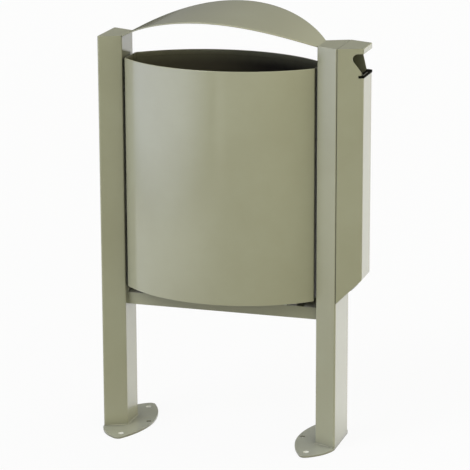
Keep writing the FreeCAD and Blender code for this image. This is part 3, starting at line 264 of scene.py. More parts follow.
class BinStudio(bpy.types.PropertyGroup):
    """Camera and light."""

    place: a_place("Camera", "Where the camera stands", (1.596657, -5.098316, 1.898438))
    focal: a_number("Focal length", "In pixels of the photograph", 2487.07)
    yaw: an_angle("Yaw", "Turn of the camera to the left", 0.299)
    pitch: an_angle("Pitch", "Tilt of the camera downwards", 0.2631)
    roll: an_angle("Roll", "Turn of the camera about its line of sight", -0.0036)
    front_light: a_number("Front light", "Brightness of the room at the left front", 1.1)
    right_light: a_number("Right light", "Brightness of the room at the right front", 1.4)
    back_light: a_number("Back light", "Brightness of the room behind the bin", 0.18)
    top_light: a_number("Top light", "Brightness of the ceiling", 1.0)
    side_light: a_number("Side light", "Brightness of the room at the right and behind", 0.85)
    key_light: a_number("Key light", "Brightness of the soft light at the upper right", 0.3)
    key_aim: a_direction(
        "Key direction", "Direction in which the soft light stands", (0.5, -0.25, 0.83))
    lamp_light: a_number("Lamp light", "Brightness of the lamp at the upper left front", 5.6)
    lamp_aim: a_direction(
        "Lamp direction", "Direction in which the lamp stands", (-0.42, -0.62, 0.66))
    sweep_light: a_number(
        "Sweep", "Share of white that the coat shows low behind the bin", 0.1)
    box_light: a_number("Soft box light", "Brightness in the middle of the soft box", 1.75)
    box_place: a_place("Soft box", "Where the soft box hangs", (-2.15, -1.2, 0.7))
    box_width: a_length("Soft box width", "Width of the soft box", 6.4)
    box_height: a_length("Soft box height", "Height of the soft box", 2.0)
    floor_behind: a_number(
        "Floor behind", "How bright the floor behind the bin shows in the coat", 1.17)
    floor_left: a_number(
        "Floor at the left", "How bright the floor at the left front shows in the coat", 0.93)
    floor_near: a_number(
        "Floor in front", "How bright the rest of the floor shows in the coat", 0.02)
    floor_white: a_number(
        "Floor's white", "Share of white in the floor that the camera sees; the rest is lit", 0.92)
    floor_tone: a_colour("Floor", "Grey of the floor as a lit surface", (0.55, 0.55, 0.55))
    warm: a_colour("Warm", "Tint of the light from the right", (1.0, 0.975, 0.72))
    cool: a_colour("Cool", "Tint of the light from the left and above", (0.99, 1.0, 1.0))
    box_tint: a_colour("Soft box tint", "Tint of the soft box", (0.94, 1.0, 1.24))


class Wire:
    """An output socket; arithmetic on it adds Math nodes to its tree."""

    def __init__(self, recipe, socket):
        self.recipe = recipe
        self.socket = socket

    def math(self, operation, *values):
        """A Math node on these values."""
        return self.recipe.node("ShaderNodeMath", {"operation": operation}, dict(enumerate(values)))

    def __add__(self, other):
        return self.math("ADD", self, other)

    def __radd__(self, other):
        return self.math("ADD", other, self)

    def __sub__(self, other):
        return self.math("SUBTRACT", self, other)

    def __rsub__(self, other):
        return self.math("SUBTRACT", other, self)

    def __mul__(self, other):
        return self.math("MULTIPLY", self, other)

    def __rmul__(self, other):
        return self.math("MULTIPLY", other, self)


class Recipe:
    """Node tree of one material or of the world."""

    def __init__(self, tree):
        tree.nodes.clear()
        self.tree = tree

    def node(self, kind, settings=None, sockets=None, output=0):
        """Add a node: its settings first, then a value or a link for each socket."""
        made = self.tree.nodes.new(kind)
        for name, setting in (settings or {}).items():
            setattr(made, name, setting)
        for name, given in (sockets or {}).items():
            if isinstance(given, Wire):
                self.tree.links.new(given.socket, made.inputs[name])
            else:
                made.inputs[name].default_value = given
        return Wire(self, made.outputs[output]) if made.outputs else None

    def vector(self, operation, *vectors, output="Vector"):
        """A Vector Math node on these vectors; its "Value" is a length, distance or product."""
        return self.node("ShaderNodeVectorMath", {"operation": operation},
                         dict(enumerate(vectors)), output)

    def scaled(self, vector, amount):
        """A colour or vector times an amount."""
        given = vector if isinstance(vector, Wire) else tuple(vector)
        return self.node("ShaderNodeVectorMath", {"operation": "SCALE"},
                         {0: given, "Scale": amount})

    def part(self, vector, axis):
        """One component of a vector: 0 for x, 1 for y and 2 for z."""
        return self.node("ShaderNodeSeparateXYZ", {}, {0: vector}, axis)

    def ease(self, value, low, high):
        """0 below low, 1 above high, with a smooth step between them."""
        return self.node("ShaderNodeMapRange", {"interpolation_type": "SMOOTHSTEP"},
                         {"Value": value, "From Min": low, "From Max": high})

    def mix(self, share, first, second):
        """Colour between first and second."""
        ends = [given if isinstance(given, Wire) else (*given, 1.0) for given in (first, second)]
        return self.node("ShaderNodeMix", {"data_type": "RGBA"},
                         {0: share, 6: ends[0], 7: ends[1]}, 2)

    def noise(self, coords, size, detail=2.0, roughness=0.5):
        """Noise whose blotches are about this size, in metres."""
        return self.node("ShaderNodeTexNoise", {}, {
            "Vector": coords, "Scale": 1.0 / size, "Detail": detail, "Roughness": roughness})

    def bump(self, normal, height, strength, distance):
        """A normal tilted by a height that varies over the surface."""
        return self.node("ShaderNodeBump", {}, {
            "Height": height, "Strength": strength, "Distance": distance, "Normal": normal})

    def object_coords(self):
        """Places in the bin's own frame."""
        return self.node("ShaderNodeTexCoord", output="Object")

    def plain_normal(self):
        """The normal of the mesh."""
        return self.node("ShaderNodeNewGeometry", output="Normal")

    def ray(self, kind):
        """1 for rays of this kind, 0 for others."""
        return self.node("ShaderNodeLightPath", output=kind)

    def mirrored(self):
        """1 for rays that a glossy or clear surface sends on, 0 for others."""
        return self.ray("Is Glossy Ray") + self.ray("Is Transmission Ray")


def new_material(name):
    """An empty node material."""
    material = bpy.data.materials.new(name)
    material.use_nodes = True
    return material, Recipe(material.node_tree)


def finish_material(recipe, colour, roughness, normal, **others):
    """Principled surface with its colour, roughness and normal, and other sockets by name."""
    sockets = {"Base Color": colour, "Roughness": roughness, "Normal": normal}
    sockets.update({name.replace("_", " "): value for name, value in others.items()})
    surface = recipe.node("ShaderNodeBsdfPrincipled", {}, sockets)
    recipe.node("ShaderNodeOutputMaterial", {}, {"Surface": surface})


def soft_normal(recipe, radius):
    """The normal rounded at edges."""
    return recipe.node("ShaderNodeBevel", {"samples": LOOK_SAMPLES}, {"Radius": radius})


def edge_mask(recipe, rounded):
    """1 on edges, where the rounded normal leaves the plain one, and 0 on flat faces."""
    along = recipe.vector("DOT_PRODUCT", rounded, recipe.plain_normal(), output="Value")
    return recipe.ease(1.0 - along, *EDGE_TURN)


def creases(recipe, reach, closed, clear):
    """1 where less than the share `closed` of the view within reach is open, 0 over `clear`."""
    view = recipe.node("ShaderNodeAmbientOcclusion", {"samples": LOOK_SAMPLES},
                       {"Distance": reach}, "AO")
    return 1.0 - recipe.ease(view, closed, clear)


def sill_soot(recipe, finish, coords):
    """1 on the sheet round the mouth's sill, from the dark plate up to the soot's climb."""
    low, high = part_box("stub_plate")
    across, up = (recipe.part(coords, axis) for axis in (0, 2))
    climb = high.z + finish.soot_climb
    begun = recipe.ease(up, low.z, high.z - MILLIMETRE)
    ended = recipe.ease(up, climb, climb + finish.soot_fade)
    outer = recipe.ease(across, low.x + finish.soot_fade, low.x + 2.0 * finish.soot_fade)
    return outer * (begun * (1.0 - ended))


def anchor_walls(recipe, coords):
    """1 within the corner anchor holes, at (+-spacing_x / 2, +-spacing_y / 2), and 0 outside."""
    dims = next(mount["dims"] for mount in frame["record"]["mounts"]
                if mount["name"] == "corner_anchors")
    half = 0.5 * MILLIMETRE
    axis = (half * dims["spacing_x_mm"], half * dims["spacing_y_mm"], 0.0)
    radius = MILLIMETRE * dims["hole_r_mm"]
    flat = recipe.vector("MULTIPLY", recipe.vector("ABSOLUTE", coords), (1.0, 1.0, 0.0))
    away = recipe.vector("DISTANCE", flat, axis, output="Value")
    outside = recipe.ease(away, 1.03 * radius, 1.1 * radius)
    over = recipe.ease(recipe.part(coords, 2), radius, 2.0 * radius)
    return (1.0 - outside) * (1.0 - over)


def paint_material(finish):
    """Glossy powder coat with a faint orange peel, what use has left on it, and painted shade and
    light.

    Edges are rubbed pale. Seams and gaps hold dirt and painted shade, and corners fainter painted
    shade. The tank's inside is darkened with painted shade below its rim, most at the right, and
    its coat is dull there. The feet are dusty and the mouth's sill is sooty. The walls of the
    corner anchor holes are painted pale, a painted light as if they showed the bright floor below.
    """
    material, recipe = new_material("powder_coat")
    coords = recipe.object_coords()
    rounded = soft_normal(recipe, finish.edge)
    edge = edge_mask(recipe, rounded)
    across, height = (recipe.part(coords, axis) for axis in (0, 2))
    broad = recipe.noise(coords, finish.broad)
    cloud = recipe.noise(coords, finish.cloud, detail=3.0, roughness=0.6)
    tone = recipe.ease(broad * 0.8 + cloud * 0.2, *PALE_PATCHES)
    colour = recipe.mix(tone, finish.paint, finish.paint_pale)
    rubbed = edge * 0.3 * recipe.ease(cloud, *RUBBED_PATCHES)
    colour = recipe.mix(rubbed, colour, finish.paint_edge)

    # Painted shade inside the tank: darker below the rim, with a wandering upper limit, and darkest
    # in the right half.
    inside = recipe.node("ShaderNodeAttribute", {"attribute_name": INSIDE}, {}, "Fac")
    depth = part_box("tank_front_panel")[1].z - height
    deep = recipe.ease(depth + finish.soil_drift * cloud, 0.0, finish.soil_depth)
    inside_shade_share = inside * (0.35 + 0.65 * deep)
    right_shade_share = recipe.ease(across, -finish.soil_side, finish.soil_side)
    painted_shade = recipe.mix(right_shade_share, finish.shaded_inside, finish.shaded_right_inside)
    colour = recipe.mix(inside_shade_share, colour, painted_shade)

    level = recipe.ease(recipe.part(recipe.plain_normal(), 2), *LEVEL_FACES)
    dusty = level * (1.0 - recipe.ease(height, finish.dust_low, finish.dust_high))
    colour = recipe.mix(dusty * (0.25 + 0.3 * cloud), colour, finish.dust)

    # Dirt and painted shade where little of the view is open: in seams and gaps, and more faintly
    # in corners.
    crease = creases(recipe, finish.crease, *CREASE_VIEW)
    nook = creases(recipe, finish.nook, *NOOK_VIEW)
    colour = recipe.mix(nook * 0.4, colour, finish.crease_dirt_and_shade)
    colour = recipe.mix(crease * (0.6 + 0.3 * cloud), colour, finish.crease_dirt_and_shade)

    sooty = sill_soot(recipe, finish, coords)
    colour = recipe.mix(sooty * 0.95, colour, finish.soot)
    # Painted light: the walls of the corner anchor holes are pale, as if they showed the bright
    # floor below.
    colour = recipe.mix(anchor_walls(recipe, coords), colour, finish.primer)

    roughness = 0.36 + 0.06 * cloud + 0.08 * edge + 0.12 * inside + 0.2 * crease
    peel = recipe.noise(coords, finish.peel)
    normal = recipe.bump(rounded, peel, strength=0.05, distance=0.0003)
    # The coat is less glossy where the painted shade inside the tank is darkest, and on the soot.
    gloss = (1.0 - 0.8 * inside_shade_share * right_shade_share) * (1.0 - sooty)
    finish_material(recipe, colour, roughness, normal,
                    Coat_Weight=gloss, Coat_Roughness=0.15, IOR=1.5)
    return material


def soot_material(finish):
    """Dark plate with grey ash smears and a dull, pitted face."""
    material, recipe = new_material("soot_plate")
    coords = recipe.object_coords()
    smear = recipe.noise(coords, finish.smear, detail=5.0, roughness=0.65)
    pits = recipe.noise(coords, finish.pits, detail=3.0)
    ash = recipe.ease(smear, *ASH_PATCHES)
    colour = recipe.mix(ash * 0.5, finish.soot, finish.ash)
    roughness = 0.6 + 0.25 * smear
    rounded = soft_normal(recipe, finish.edge)
    normal = recipe.bump(rounded, pits, strength=0.25, distance=0.0003)
    finish_material(recipe, colour, roughness, normal, Specular_IOR_Level=0.02)
    return material


def zinc_material(finish, name, spangle):
    """Galvanised steel: crystals of bright and dull zinc with wandering borders, and fine grain."""
    material, recipe = new_material(name)
    coords = recipe.object_coords()
    rounded = soft_normal(recipe, finish.edge)
    edge = edge_mask(recipe, rounded)
    wander = recipe.node("ShaderNodeTexNoise", {},
                         {"Vector": coords, "Scale": 0.6 / spangle}, "Color")
    bent = recipe.vector("ADD", coords, recipe.scaled(wander, 0.8 * spangle))
    crystal = recipe.node("ShaderNodeTexVoronoi", {},
                          {"Vector": bent, "Scale": 1.0 / spangle}, "Color")
    shade = recipe.node("ShaderNodeSeparateColor", {}, {0: crystal})
    cloud = recipe.noise(coords, finish.cloud, detail=3.0)
    dull = recipe.ease(shade * 0.6 + cloud * 0.4, *DULL_CRYSTALS)
    colour = recipe.mix(dull, finish.zinc, finish.zinc_dull)
    roughness = 0.32 + 0.16 * dull + 0.06 * edge
    grain = recipe.noise(coords, finish.zinc_grain)
    normal = recipe.bump(rounded, grain, strength=0.12, distance=0.0002)
    finish_material(recipe, colour, roughness, normal, Metallic=1.0)
    return material


def rubber_material(finish):
    """Black moulded rubber with a fine grain and a dusty bloom."""
    material, recipe = new_material("buffer_rubber")
    coords = recipe.object_coords()
    bloom = recipe.noise(coords, finish.bloom_size, detail=4.0)
    grain = recipe.noise(coords, finish.rubber_grain)
    colour = recipe.mix(bloom * 0.35, finish.rubber, finish.bloom)
    roughness = 0.62 + 0.2 * bloom
    rounded = soft_normal(recipe, finish.edge)
    normal = recipe.bump(rounded, grain, strength=0.2, distance=0.0002)
    finish_material(recipe, colour, roughness, normal)
    return material


FINISH_MAKERS = {
    "painted_sheet": paint_material,
    "dark_plate": soot_material,
    "zinc_steel": lambda finish: zinc_material(finish, "zinc_hardware", finish.fine_spangle),
    "zinc_sheet": lambda finish: zinc_material(finish, "zinc_spangle", finish.spangle),
    "rubber": rubber_material,
}
made_finishes = {}


def finish_for(slot):
    """The material of one of the record's slots, made once."""
    if slot not in made_finishes:
        made_finishes[slot] = FINISH_MAKERS[slot](bpy.context.scene.bin_finish)
    return made_finishes[slot]


def put_material(item, material):
    """Give an object one material."""
    item.data.materials.clear()
    item.data.materials.append(material)


class BIN_OT_finish(bpy.types.Operator):
    """Give every solid of the bin the finish of its slot"""

    bl_idname = "litter_bin.finish"
    bl_label = "Finish the solids"

    def execute(self, context):
        for subpart in frame["record"]["subparts"]:
            put_material(frame["nodes"][subpart["node"]], finish_for(subpart["material_slot"]))
        return {"FINISHED"}


def add_object(name, points, faces):
    """A mesh of these points and faces as an object in the scene."""
    mesh = bpy.data.meshes.new(name)
    mesh.from_pydata(points, [], faces)
    item = bpy.data.objects.new(name, mesh)
    bpy.context.scene.collection.objects.link(item)
    return item


def grid_faces(rows, columns, copies):
    """Quads of `copies` closed tubes of rows by columns points, and a polygon over each end."""
    index = np.arange(rows * columns).reshape(rows, columns)
    near = index[:-1]
    far = index[1:]
    quads = np.stack([near, far, np.roll(far, -1, 1), np.roll(near, -1, 1)], -1).reshape(-1, 4)
    ends = np.stack([index[0], index[-1][::-1]])
    steps = np.arange(copies)[:, None, None] * rows * columns
    return (quads + steps).reshape(-1, 4), (ends + steps).reshape(-1, columns)


def signed_volume(points, quads):
    """Volume inside one tube from its quads: sum of p0 . (p1 x p2) over their triangles, over 6."""
    first, second, third, fourth = (points[quads[:, corner]] for corner in range(4))
    halves = np.cross(second, third) + np.cross(third, fourth)
    return float((first * halves).sum() / 6.0)


def tube_object(name, points):
    """A mesh of closed tubes from points[copy, row, column]; its faces look outwards."""
    points = points if points.ndim == 4 else points[None]
    copies, rows, columns = points.shape[:3]
    quads, ends = grid_faces(rows, columns, copies)
    flat = points.reshape(-1, 3)
    first = flat[:rows * columns] - flat[:rows * columns].mean(0)
    if signed_volume(first, quads[:(rows - 1) * columns]) < 0.0:
        quads = quads[:, ::-1]
        ends = ends[:, ::-1]
    piece = add_object(name, flat.tolist(), quads.tolist() + ends.tolist())
    piece.data.shade_smooth()
    piece.data.set_sharp_from_angle(angle=SHARP_ANGLE)
    return piece


def dress(piece, body, slot, *nodes):
    """The piece's finish, body and slot, and the nodes that it stands for."""
    put_material(piece, finish_for(slot))
    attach(piece, body)
    if nodes:
        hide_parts(*nodes)


def carry(path, out, up, profile):
    """Profile carried along a path: point[i, j] = path[i] + p[j, 0] * out[i] + p[j, 1] * up[i]."""
    return (path[:, None] + profile[..., 0, None] * out[:, None]
            + profile[..., 1, None] * up[:, None])


def everywhere(direction, path):
    """One direction for each point of a path."""
    return np.tile(direction, (len(path), 1))


def raised(plan):
    """Plan points or directions as points or directions in space."""
    return np.concatenate([plan, np.zeros((len(plan), 1))], 1)


def unit_circle(angle):
    """Points (cos a, sin a)."""
    return np.stack([np.cos(angle), np.sin(angle)], -1)


def arc_radius(half_chord, rise):
    """Radius of the arc that rises over a chord: (rise^2 + half_chord^2) / (2 rise)."""
    return (rise ** 2 + half_chord ** 2) / (2.0 * rise)


def shell_plan(end, wall_stop, depth, sharp, bend):
    """Plan of a shell: two straight ends at x = +-end and a front arc, joined by bends.

    The arc goes through (end, -sharp) and (0, -depth), so its radius R is arc_radius(end,
    depth - sharp), about (0, R - depth). Returns the points and their outward directions.
    """
    radius = arc_radius(end, depth - sharp)
    centre = radius - depth
    corner_x = end - bend
    corner_y = centre - math.sqrt((radius - bend) ** 2 - corner_x ** 2)
    turn = math.atan2(corner_y - centre, corner_x)
    wall_y = np.linspace(wall_stop, corner_y, WALL_POINTS)[:-1]
    wall = np.stack([np.full_like(wall_y, end), wall_y], 1)
    wall_out = everywhere([1.0, 0.0], wall)
    bend_out = unit_circle(np.linspace(0.0, turn, BEND_POINTS)[:-1])
    bent = np.array([corner_x, corner_y]) + bend * bend_out
    arc_out = unit_circle(np.linspace(turn, -QUARTER_TURN, ARC_POINTS))
    arc = np.array([0.0, centre]) + radius * arc_out
    half = np.concatenate([wall, bent, arc])
    half_out = np.concatenate([wall_out, bend_out, arc_out])
    mirror = np.array([-1.0, 1.0])
    return (np.concatenate([half, half[-2::-1] * mirror]),
            np.concatenate([half_out, half_out[-2::-1] * mirror]))


def sheet_profile(low, high, sheet, hem, folded):
    """Section of a shell's wall with a rolled rim; `folded` is 1 where it is hemmed, else 0.

    With w = sheet * (1 + folded) the rim is a half circle of radius w / 2 from the outer face (0)
    to the hem's face (-w); the hem ends `hem` below the rim, and the wall goes on at -sheet.
    """
    width = sheet * (1.0 + folded)
    nick = NICK * sheet
    swing = np.linspace(0.0, math.pi, RIM_POINTS)
    rim_out = width[:, None] * 0.5 * (np.cos(swing) - 1.0)
    rim_up = high + width[:, None] * 0.5 * (np.sin(swing) - 1.0)
    foot = high - hem
    zero = np.zeros_like(width)
    inner = zero - sheet
    outs = np.concatenate([
        np.stack([zero - nick, zero], 1), rim_out,
        np.stack([-width, -width + nick * folded, inner, inner, inner + nick], 1)], 1)
    ups = np.concatenate([
        np.stack([zero + low, zero + low + nick], 1), rim_up,
        np.stack([zero + foot + 2.0 * nick, zero + foot + nick, zero + foot, zero + low + nick,
                  zero + low], 1)], 1)
    return np.stack([outs, ups], -1)


class BIN_OT_tank(bpy.types.Operator):
    """Roll the tank's two panels with hemmed rims"""

    bl_idname = "litter_bin.tank"
    bl_label = "Roll the tank"

    def execute(self, context):
        sizes = context.scene.bin_sizes
        low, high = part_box("tank_front_panel")
        front_end = high
        plan, out = shell_plan(high.x, high.y, -low.y, high.y, sizes.tank_corner)
        self.panel("tank_front_sheet", plan, out, low, high, sizes, "tank_front_panel")
        low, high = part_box("tank_back_panel")
        lap = high.y - self.arc_fall(high.x, high.y, front_end.x, front_end.y)
        plan, out = shell_plan(high.x, -low.y, high.y, lap, LAP_BEND * sizes.sheet)
        flip = np.array([1.0, -1.0])
        self.panel("tank_back_sheet", plan * flip, out * flip, low, high, sizes, "tank_back_panel")
        return {"FINISHED"}

    @staticmethod
    def arc_fall(place, depth, end, sharp):
        """How far the arc through (end, sharp) and (0, depth) falls from its crown at x = place."""
        radius = arc_radius(end, depth - sharp)
        return radius - math.sqrt(radius ** 2 - place ** 2)

    @staticmethod
    def panel(name, plan, out, low, high, sizes, node):
        """One panel from its plan; an attribute marks the inner half of its section."""
        reach = high.x - HEM_STOP * sizes.sheet
        folded = (np.abs(plan[:, 0]) < reach).astype(float)
        profile = sheet_profile(low.z, high.z, sizes.sheet, sizes.hem, folded)
        piece = tube_object(name, carry(raised(plan), raised(out), everywhere(UP, plan), profile))
        columns = profile.shape[1]
        inner = (np.arange(columns) >= columns // 2).astype(np.float32)
        marks = piece.data.attributes.new(INSIDE, "FLOAT", "POINT")
        marks.data.foreach_set("value", np.tile(inner, len(plan)))
        dress(piece, "tank", "painted_sheet", node)


class BIN_OT_canopy(bpy.types.Operator):
    """Roll the canopy to its arch with rounded edges"""

    bl_idname = "litter_bin.canopy"
    bl_label = "Roll the canopy"

    def execute(self, context):
        arch = self.arch(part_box("canopy")[1], context.scene.bin_sizes)
        dress(tube_object("canopy_sheet", arch), "frame", "painted_sheet", "canopy")
        return {"FINISHED"}

    @staticmethod
    def arch(high, sizes):
        """Arch z(x) = c + sqrt(R^2 - x^2), trimmed by |y| <= sqrt(P^2 - x^2) - P + half width.

        Across it the section is the top face, a half round edge, the under face and a half round
        edge.
        """
        plan_radius = arc_radius(high.x, high.y - sizes.arch_end)
        radius = arc_radius(high.x, sizes.arch_rise)
        centre = high.z - radius
        swing = math.asin(high.x / radius)
        along = radius * np.sin(np.linspace(-swing, swing, ARCH_POINTS))
        top = centre + np.sqrt(radius ** 2 - along ** 2)
        under = centre + np.sqrt((radius - sizes.arch_sheet) ** 2 - along ** 2)
        half = np.sqrt(plan_radius ** 2 - along ** 2) - plan_radius + high.y
        edge = 0.5 * sizes.arch_sheet
        flat = (half - edge)[:, None]
        share = np.linspace(-1.0, 1.0, ARCH_ACROSS)
        round_off = np.linspace(0.0, math.pi, EDGE_POINTS)[1:-1]
        bulge = edge * np.sin(round_off)
        fall = 0.5 * np.cos(round_off)
        across = np.concatenate([flat * share, flat + bulge, flat * -share, -flat - bulge], 1)
        depth = np.concatenate([0.0 * share, 0.5 - fall, 0.0 * share + 1.0, 0.5 + fall])
        height = top[:, None] + depth * (under - top)[:, None]
        return np.stack([np.broadcast_to(along[:, None], across.shape), across, height], -1)


def unit(vectors):
    """Vectors at length 1."""
    return vectors / np.linalg.norm(vectors, axis=1)[:, None]


def softened(corners, bend):
    """Evenly spaced points along a polyline with bent inner corners.

    With a and b the directions to the corners before and after it, a corner c becomes the curve
    c + bend * ((1 - t)^2 a + t^2 b). Returns the points, their directions to the left and how far
    along they lie.
    """
    corners = np.asarray(corners, float)
    before = unit(corners[:-2] - corners[1:-1])[:, None]
    after = unit(corners[2:] - corners[1:-1])[:, None]
    share = np.linspace(0.0, 1.0, CORNER_POINTS)[None, :, None]
    bent = corners[1:-1, None] + bend * ((1.0 - share) ** 2 * before + share ** 2 * after)
    line = np.concatenate([corners[:1], bent.reshape(-1, 2), corners[-1:]])
    run = np.concatenate([[0.0], np.cumsum(np.linalg.norm(np.diff(line, axis=0), axis=1))])
    place = np.linspace(0.0, run[-1], max(int(run[-1] / WELD_STEP), FEWEST_POINTS))
    points = np.stack([np.interp(place, run, line[:, axis]) for axis in range(2)], 1)
    ahead = unit(np.gradient(points, axis=0))
    return points, np.stack([-ahead[:, 1], ahead[:, 0]], 1), place


def tapered(place, reach):
    """1 along a weld's run, falling to its ends as the root of their distance over reach."""
    return np.sqrt(np.clip(np.minimum(place, place[-1] - place) / reach, WELD_END, 1.0))


def bead_profile(place, leg, pitch):
    """Section of a fillet weld: a quarter round with its corner let into the metal.

    Along the run its leg is multiplied by 1 + a sin(2 pi s / p) + b sin(2 pi s / (w p)).
    """
    ripple = (1.0 + RIPPLE * np.sin(FULL_TURN * place / pitch)
              + WAVER * np.sin(FULL_TURN * place / (WAVER_PITCH * pitch)))
    swing = np.linspace(0.0, QUARTER_TURN, BEAD_POINTS)
    let_in = LET_IN * leg
    outs = np.concatenate([[-let_in], leg * np.cos(swing), [-let_in]])
    ups = np.concatenate([[-let_in], leg * np.sin(swing), [leg]])
    section = np.stack([outs, ups], -1)
    return (ripple * tapered(place, 2.0 * leg))[:, None, None] * section


class BIN_OT_welds(bpy.types.Operator):
    """Lay painted fillet welds at the feet, the crossbar's ends and the canopy's ends"""

    bl_idname = "litter_bin.welds"
    bl_label = "Lay the welds"

    def execute(self, context):
        sizes = context.scene.bin_sizes
        for side, hand in (("right", 1.0), ("left", -1.0)):
            for name, points in (("_foot_weld", self.foot_weld(side, hand, sizes)),
                                 ("_bar_weld", self.bar_weld(hand, sizes)),
                                 ("_crown_weld", self.crown_weld(hand, sizes))):
                dress(tube_object(side + name, points), "frame", "painted_sheet")
        return {"FINISHED"}

    @staticmethod
    def foot_weld(side, hand, sizes):
        """Weld round a post's foot: along its two slanting sides and its inner face."""
        low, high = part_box(side + "_post")
        inner = min(abs(low.x), abs(high.x))
        outer = max(abs(low.x), abs(high.x)) - sizes.weld
        inset = sizes.weld * (high.y - sizes.arch_end) / (outer - inner)
        corners = [(outer, low.y + inset), (inner, -sizes.arch_end), (inner, sizes.arch_end),
                   (outer, high.y - inset)]
        plan, out, place = softened(corners, FOOT_BEND)
        path = raised(plan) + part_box(side + "_foot_plate")[1].z * UP
        profile = bead_profile(place, sizes.weld, sizes.weld_pitch)
        return carry(path, raised(out), everywhere(UP, path), profile) * np.array([hand, 1.0, 1.0])

    @staticmethod
    def bar_weld(hand, sizes):
        """Weld round an end of the crossbar, on the post's inner face."""
        low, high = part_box("crossbar")
        middle = 0.5 * (low.y + high.y)
        loop = [(middle, low.z), (low.y, low.z), (low.y, high.z), (high.y, high.z),
                (high.y, low.z), (middle, low.z)]
        plan, out, place = softened(loop, BAR_BEND)
        path = np.roll(raised(plan), 1, axis=1) + np.array([high.x * hand, 0.0, 0.0])
        inward = everywhere([-hand, 0.0, 0.0], path)
        profile = bead_profile(place, BAR_LEG * sizes.weld, sizes.weld_pitch)
        return carry(path, np.roll(raised(out), 1, axis=1), inward, profile)

    @staticmethod
    def crown_weld(hand, sizes):
        """Round weld along an end of the canopy, on the post's top."""
        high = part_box("canopy")[1]
        reach = sizes.arch_end - sizes.weld
        across = np.linspace(-reach, reach, CROWN_POINTS)
        run = across + reach
        path = np.stack([np.full_like(across, high.x * hand), across,
                         np.full_like(across, high.z - sizes.arch_rise - CROWN_SINK)], 1)
        ripple = 1.0 + CROWN_RIPPLE * np.sin(FULL_TURN * run / sizes.weld_pitch)
        circle = CROWN_BEAD * unit_circle(np.linspace(0.0, FULL_TURN, CROWN_SEGMENTS + 1)[:-1])
        profile = (ripple * tapered(run, sizes.weld))[:, None, None] * circle
        return carry(path, everywhere([hand, 0.0, 0.0], path), everywhere(UP, path), profile)


def turned(radii, heights, segments, flats=None):
    """Profile turned about an axis: rings (r cos a, r sin a, h).

    Rings marked in `flats` are hexagons instead: r / cos(a mod 60 degrees - 30 degrees).
    """
    angle = np.linspace(0.0, FULL_TURN, segments + 1)[:-1]
    radius = np.asarray(radii, float)[:, None] * np.ones(segments)
    if flats is not None:
        sixth = math.pi / 3.0
        hexagon = 1.0 / np.cos(np.mod(angle, sixth) - 0.5 * sixth)
        radius = np.where(np.asarray(flats)[:, None], radius * hexagon, radius)
    height = np.asarray(heights, float)[:, None] * np.ones(segments)
    return np.stack([radius * np.cos(angle), radius * np.sin(angle), height], -1)


def along_x(rings, hand):
    """Rings about z, turned to look along +x or -x."""
    return np.stack([hand * rings[..., 2], rings[..., 0], rings[..., 1]], -1)


def repeated(rings, places):
    """The same rings at each place."""
    return rings[None] + places[:, None, None]


def hinge_places(low, high, radius, pitch, seat):
    """Places of the fasteners of both tank hinges, at x = -o, p - o, o - p and o."""
    outer = high.x - radius
    across = np.array([-outer, pitch - outer, outer - pitch, outer])
    middle = np.full(HINGE_FASTENERS, 0.5 * (low.y + high.y))
    return np.stack([across, middle, np.full(HINGE_FASTENERS, seat)], 1)


def rivet_rings(sizes, grip):
    """A rivet: domed head, shank through the grip, and a set head of the same size."""
    swing = np.linspace(POLE_ANGLE, QUARTER_TURN, DOME_POINTS)
    dome_radius = sizes.rivet * np.sin(swing)
    dome_height = sizes.rivet_dome * np.cos(swing)
    shank = 0.5 * sizes.rivet
    radii = np.concatenate([dome_radius, [shank, shank], dome_radius[::-1]])
    heights = np.concatenate([dome_height, [0.0, -grip], -grip - dome_height[::-1]])
    return turned(radii, heights, RIVET_SEGMENTS)


class BIN_OT_rivets(bpy.types.Operator):
    """Set the domed rivets of the tank's laps and floor"""

    bl_idname = "litter_bin.rivets"
    bl_label = "Set the rivets"

    def execute(self, context):
        sizes = context.scene.bin_sizes
        low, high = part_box("tank_rivets")
        wall = high.x - sizes.rivet_dome
        heights = np.linspace(low.z + sizes.rivet, high.z - sizes.rivet, LAP_RIVETS)
        middle = np.full(LAP_RIVETS, 0.5 * (low.y + high.y))
        rings = rivet_rings(sizes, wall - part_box("tank_back_panel")[1].x + sizes.sheet)
        right, left = (
            repeated(along_x(rings, hand),
                     np.stack([np.full(LAP_RIVETS, hand * wall), middle, heights], 1))
            for hand in (1.0, -1.0))
        both = np.concatenate([right, self.other_way_round(left)])
        dress(tube_object("lap_rivets", both), "tank", "painted_sheet", "tank_rivets")
        low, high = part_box("floor_rivets")
        grip = high.z - low.z - 2.0 * sizes.rivet_dome
        places = hinge_places(low, high, sizes.rivet, sizes.hinge_pitch,
                              high.z - sizes.rivet_dome)
        rivets = repeated(rivet_rings(sizes, grip), places)
        dress(tube_object("hinge_rivets", rivets), "tank", "zinc_steel", "floor_rivets")
        return {"FINISHED"}

    @staticmethod
    def other_way_round(rings):
        """The same rings run the other way, so that a mirrored copy keeps its outside."""
        return rings[:, :, ::-1]


def screw_rings(sizes, length):
    """A button-head screw: domed head with a hexagon socket over a plain shank."""
    head = sizes.screw
    dome = sizes.screw_dome
    shank = 0.55 * head
    tip = 0.6 * shank
    chamfer = 0.3 * shank
    rim = 1.25 * sizes.socket
    edge = 0.18 * dome
    mouth = 0.97 * dome
    floor = 0.35 * dome
    pit = 0.9 * floor
    swing = np.linspace(0.0, QUARTER_TURN, SCREW_POINTS)
    curve_radius = rim + (head - rim) * np.cos(swing)
    curve_height = edge + (dome - edge) * np.sin(swing)
    radii = np.concatenate([[tip, shank, shank, head], curve_radius,
                            [sizes.socket, sizes.socket, 0.15 * sizes.socket]])
    heights = np.concatenate([[-length, chamfer - length, 0.0, 0.0], curve_height,
                              [mouth, floor, pit]])
    flats = np.concatenate([np.zeros(4 + SCREW_POINTS, bool), [True, True, False]])
    return turned(radii, heights, SCREW_SEGMENTS, flats)


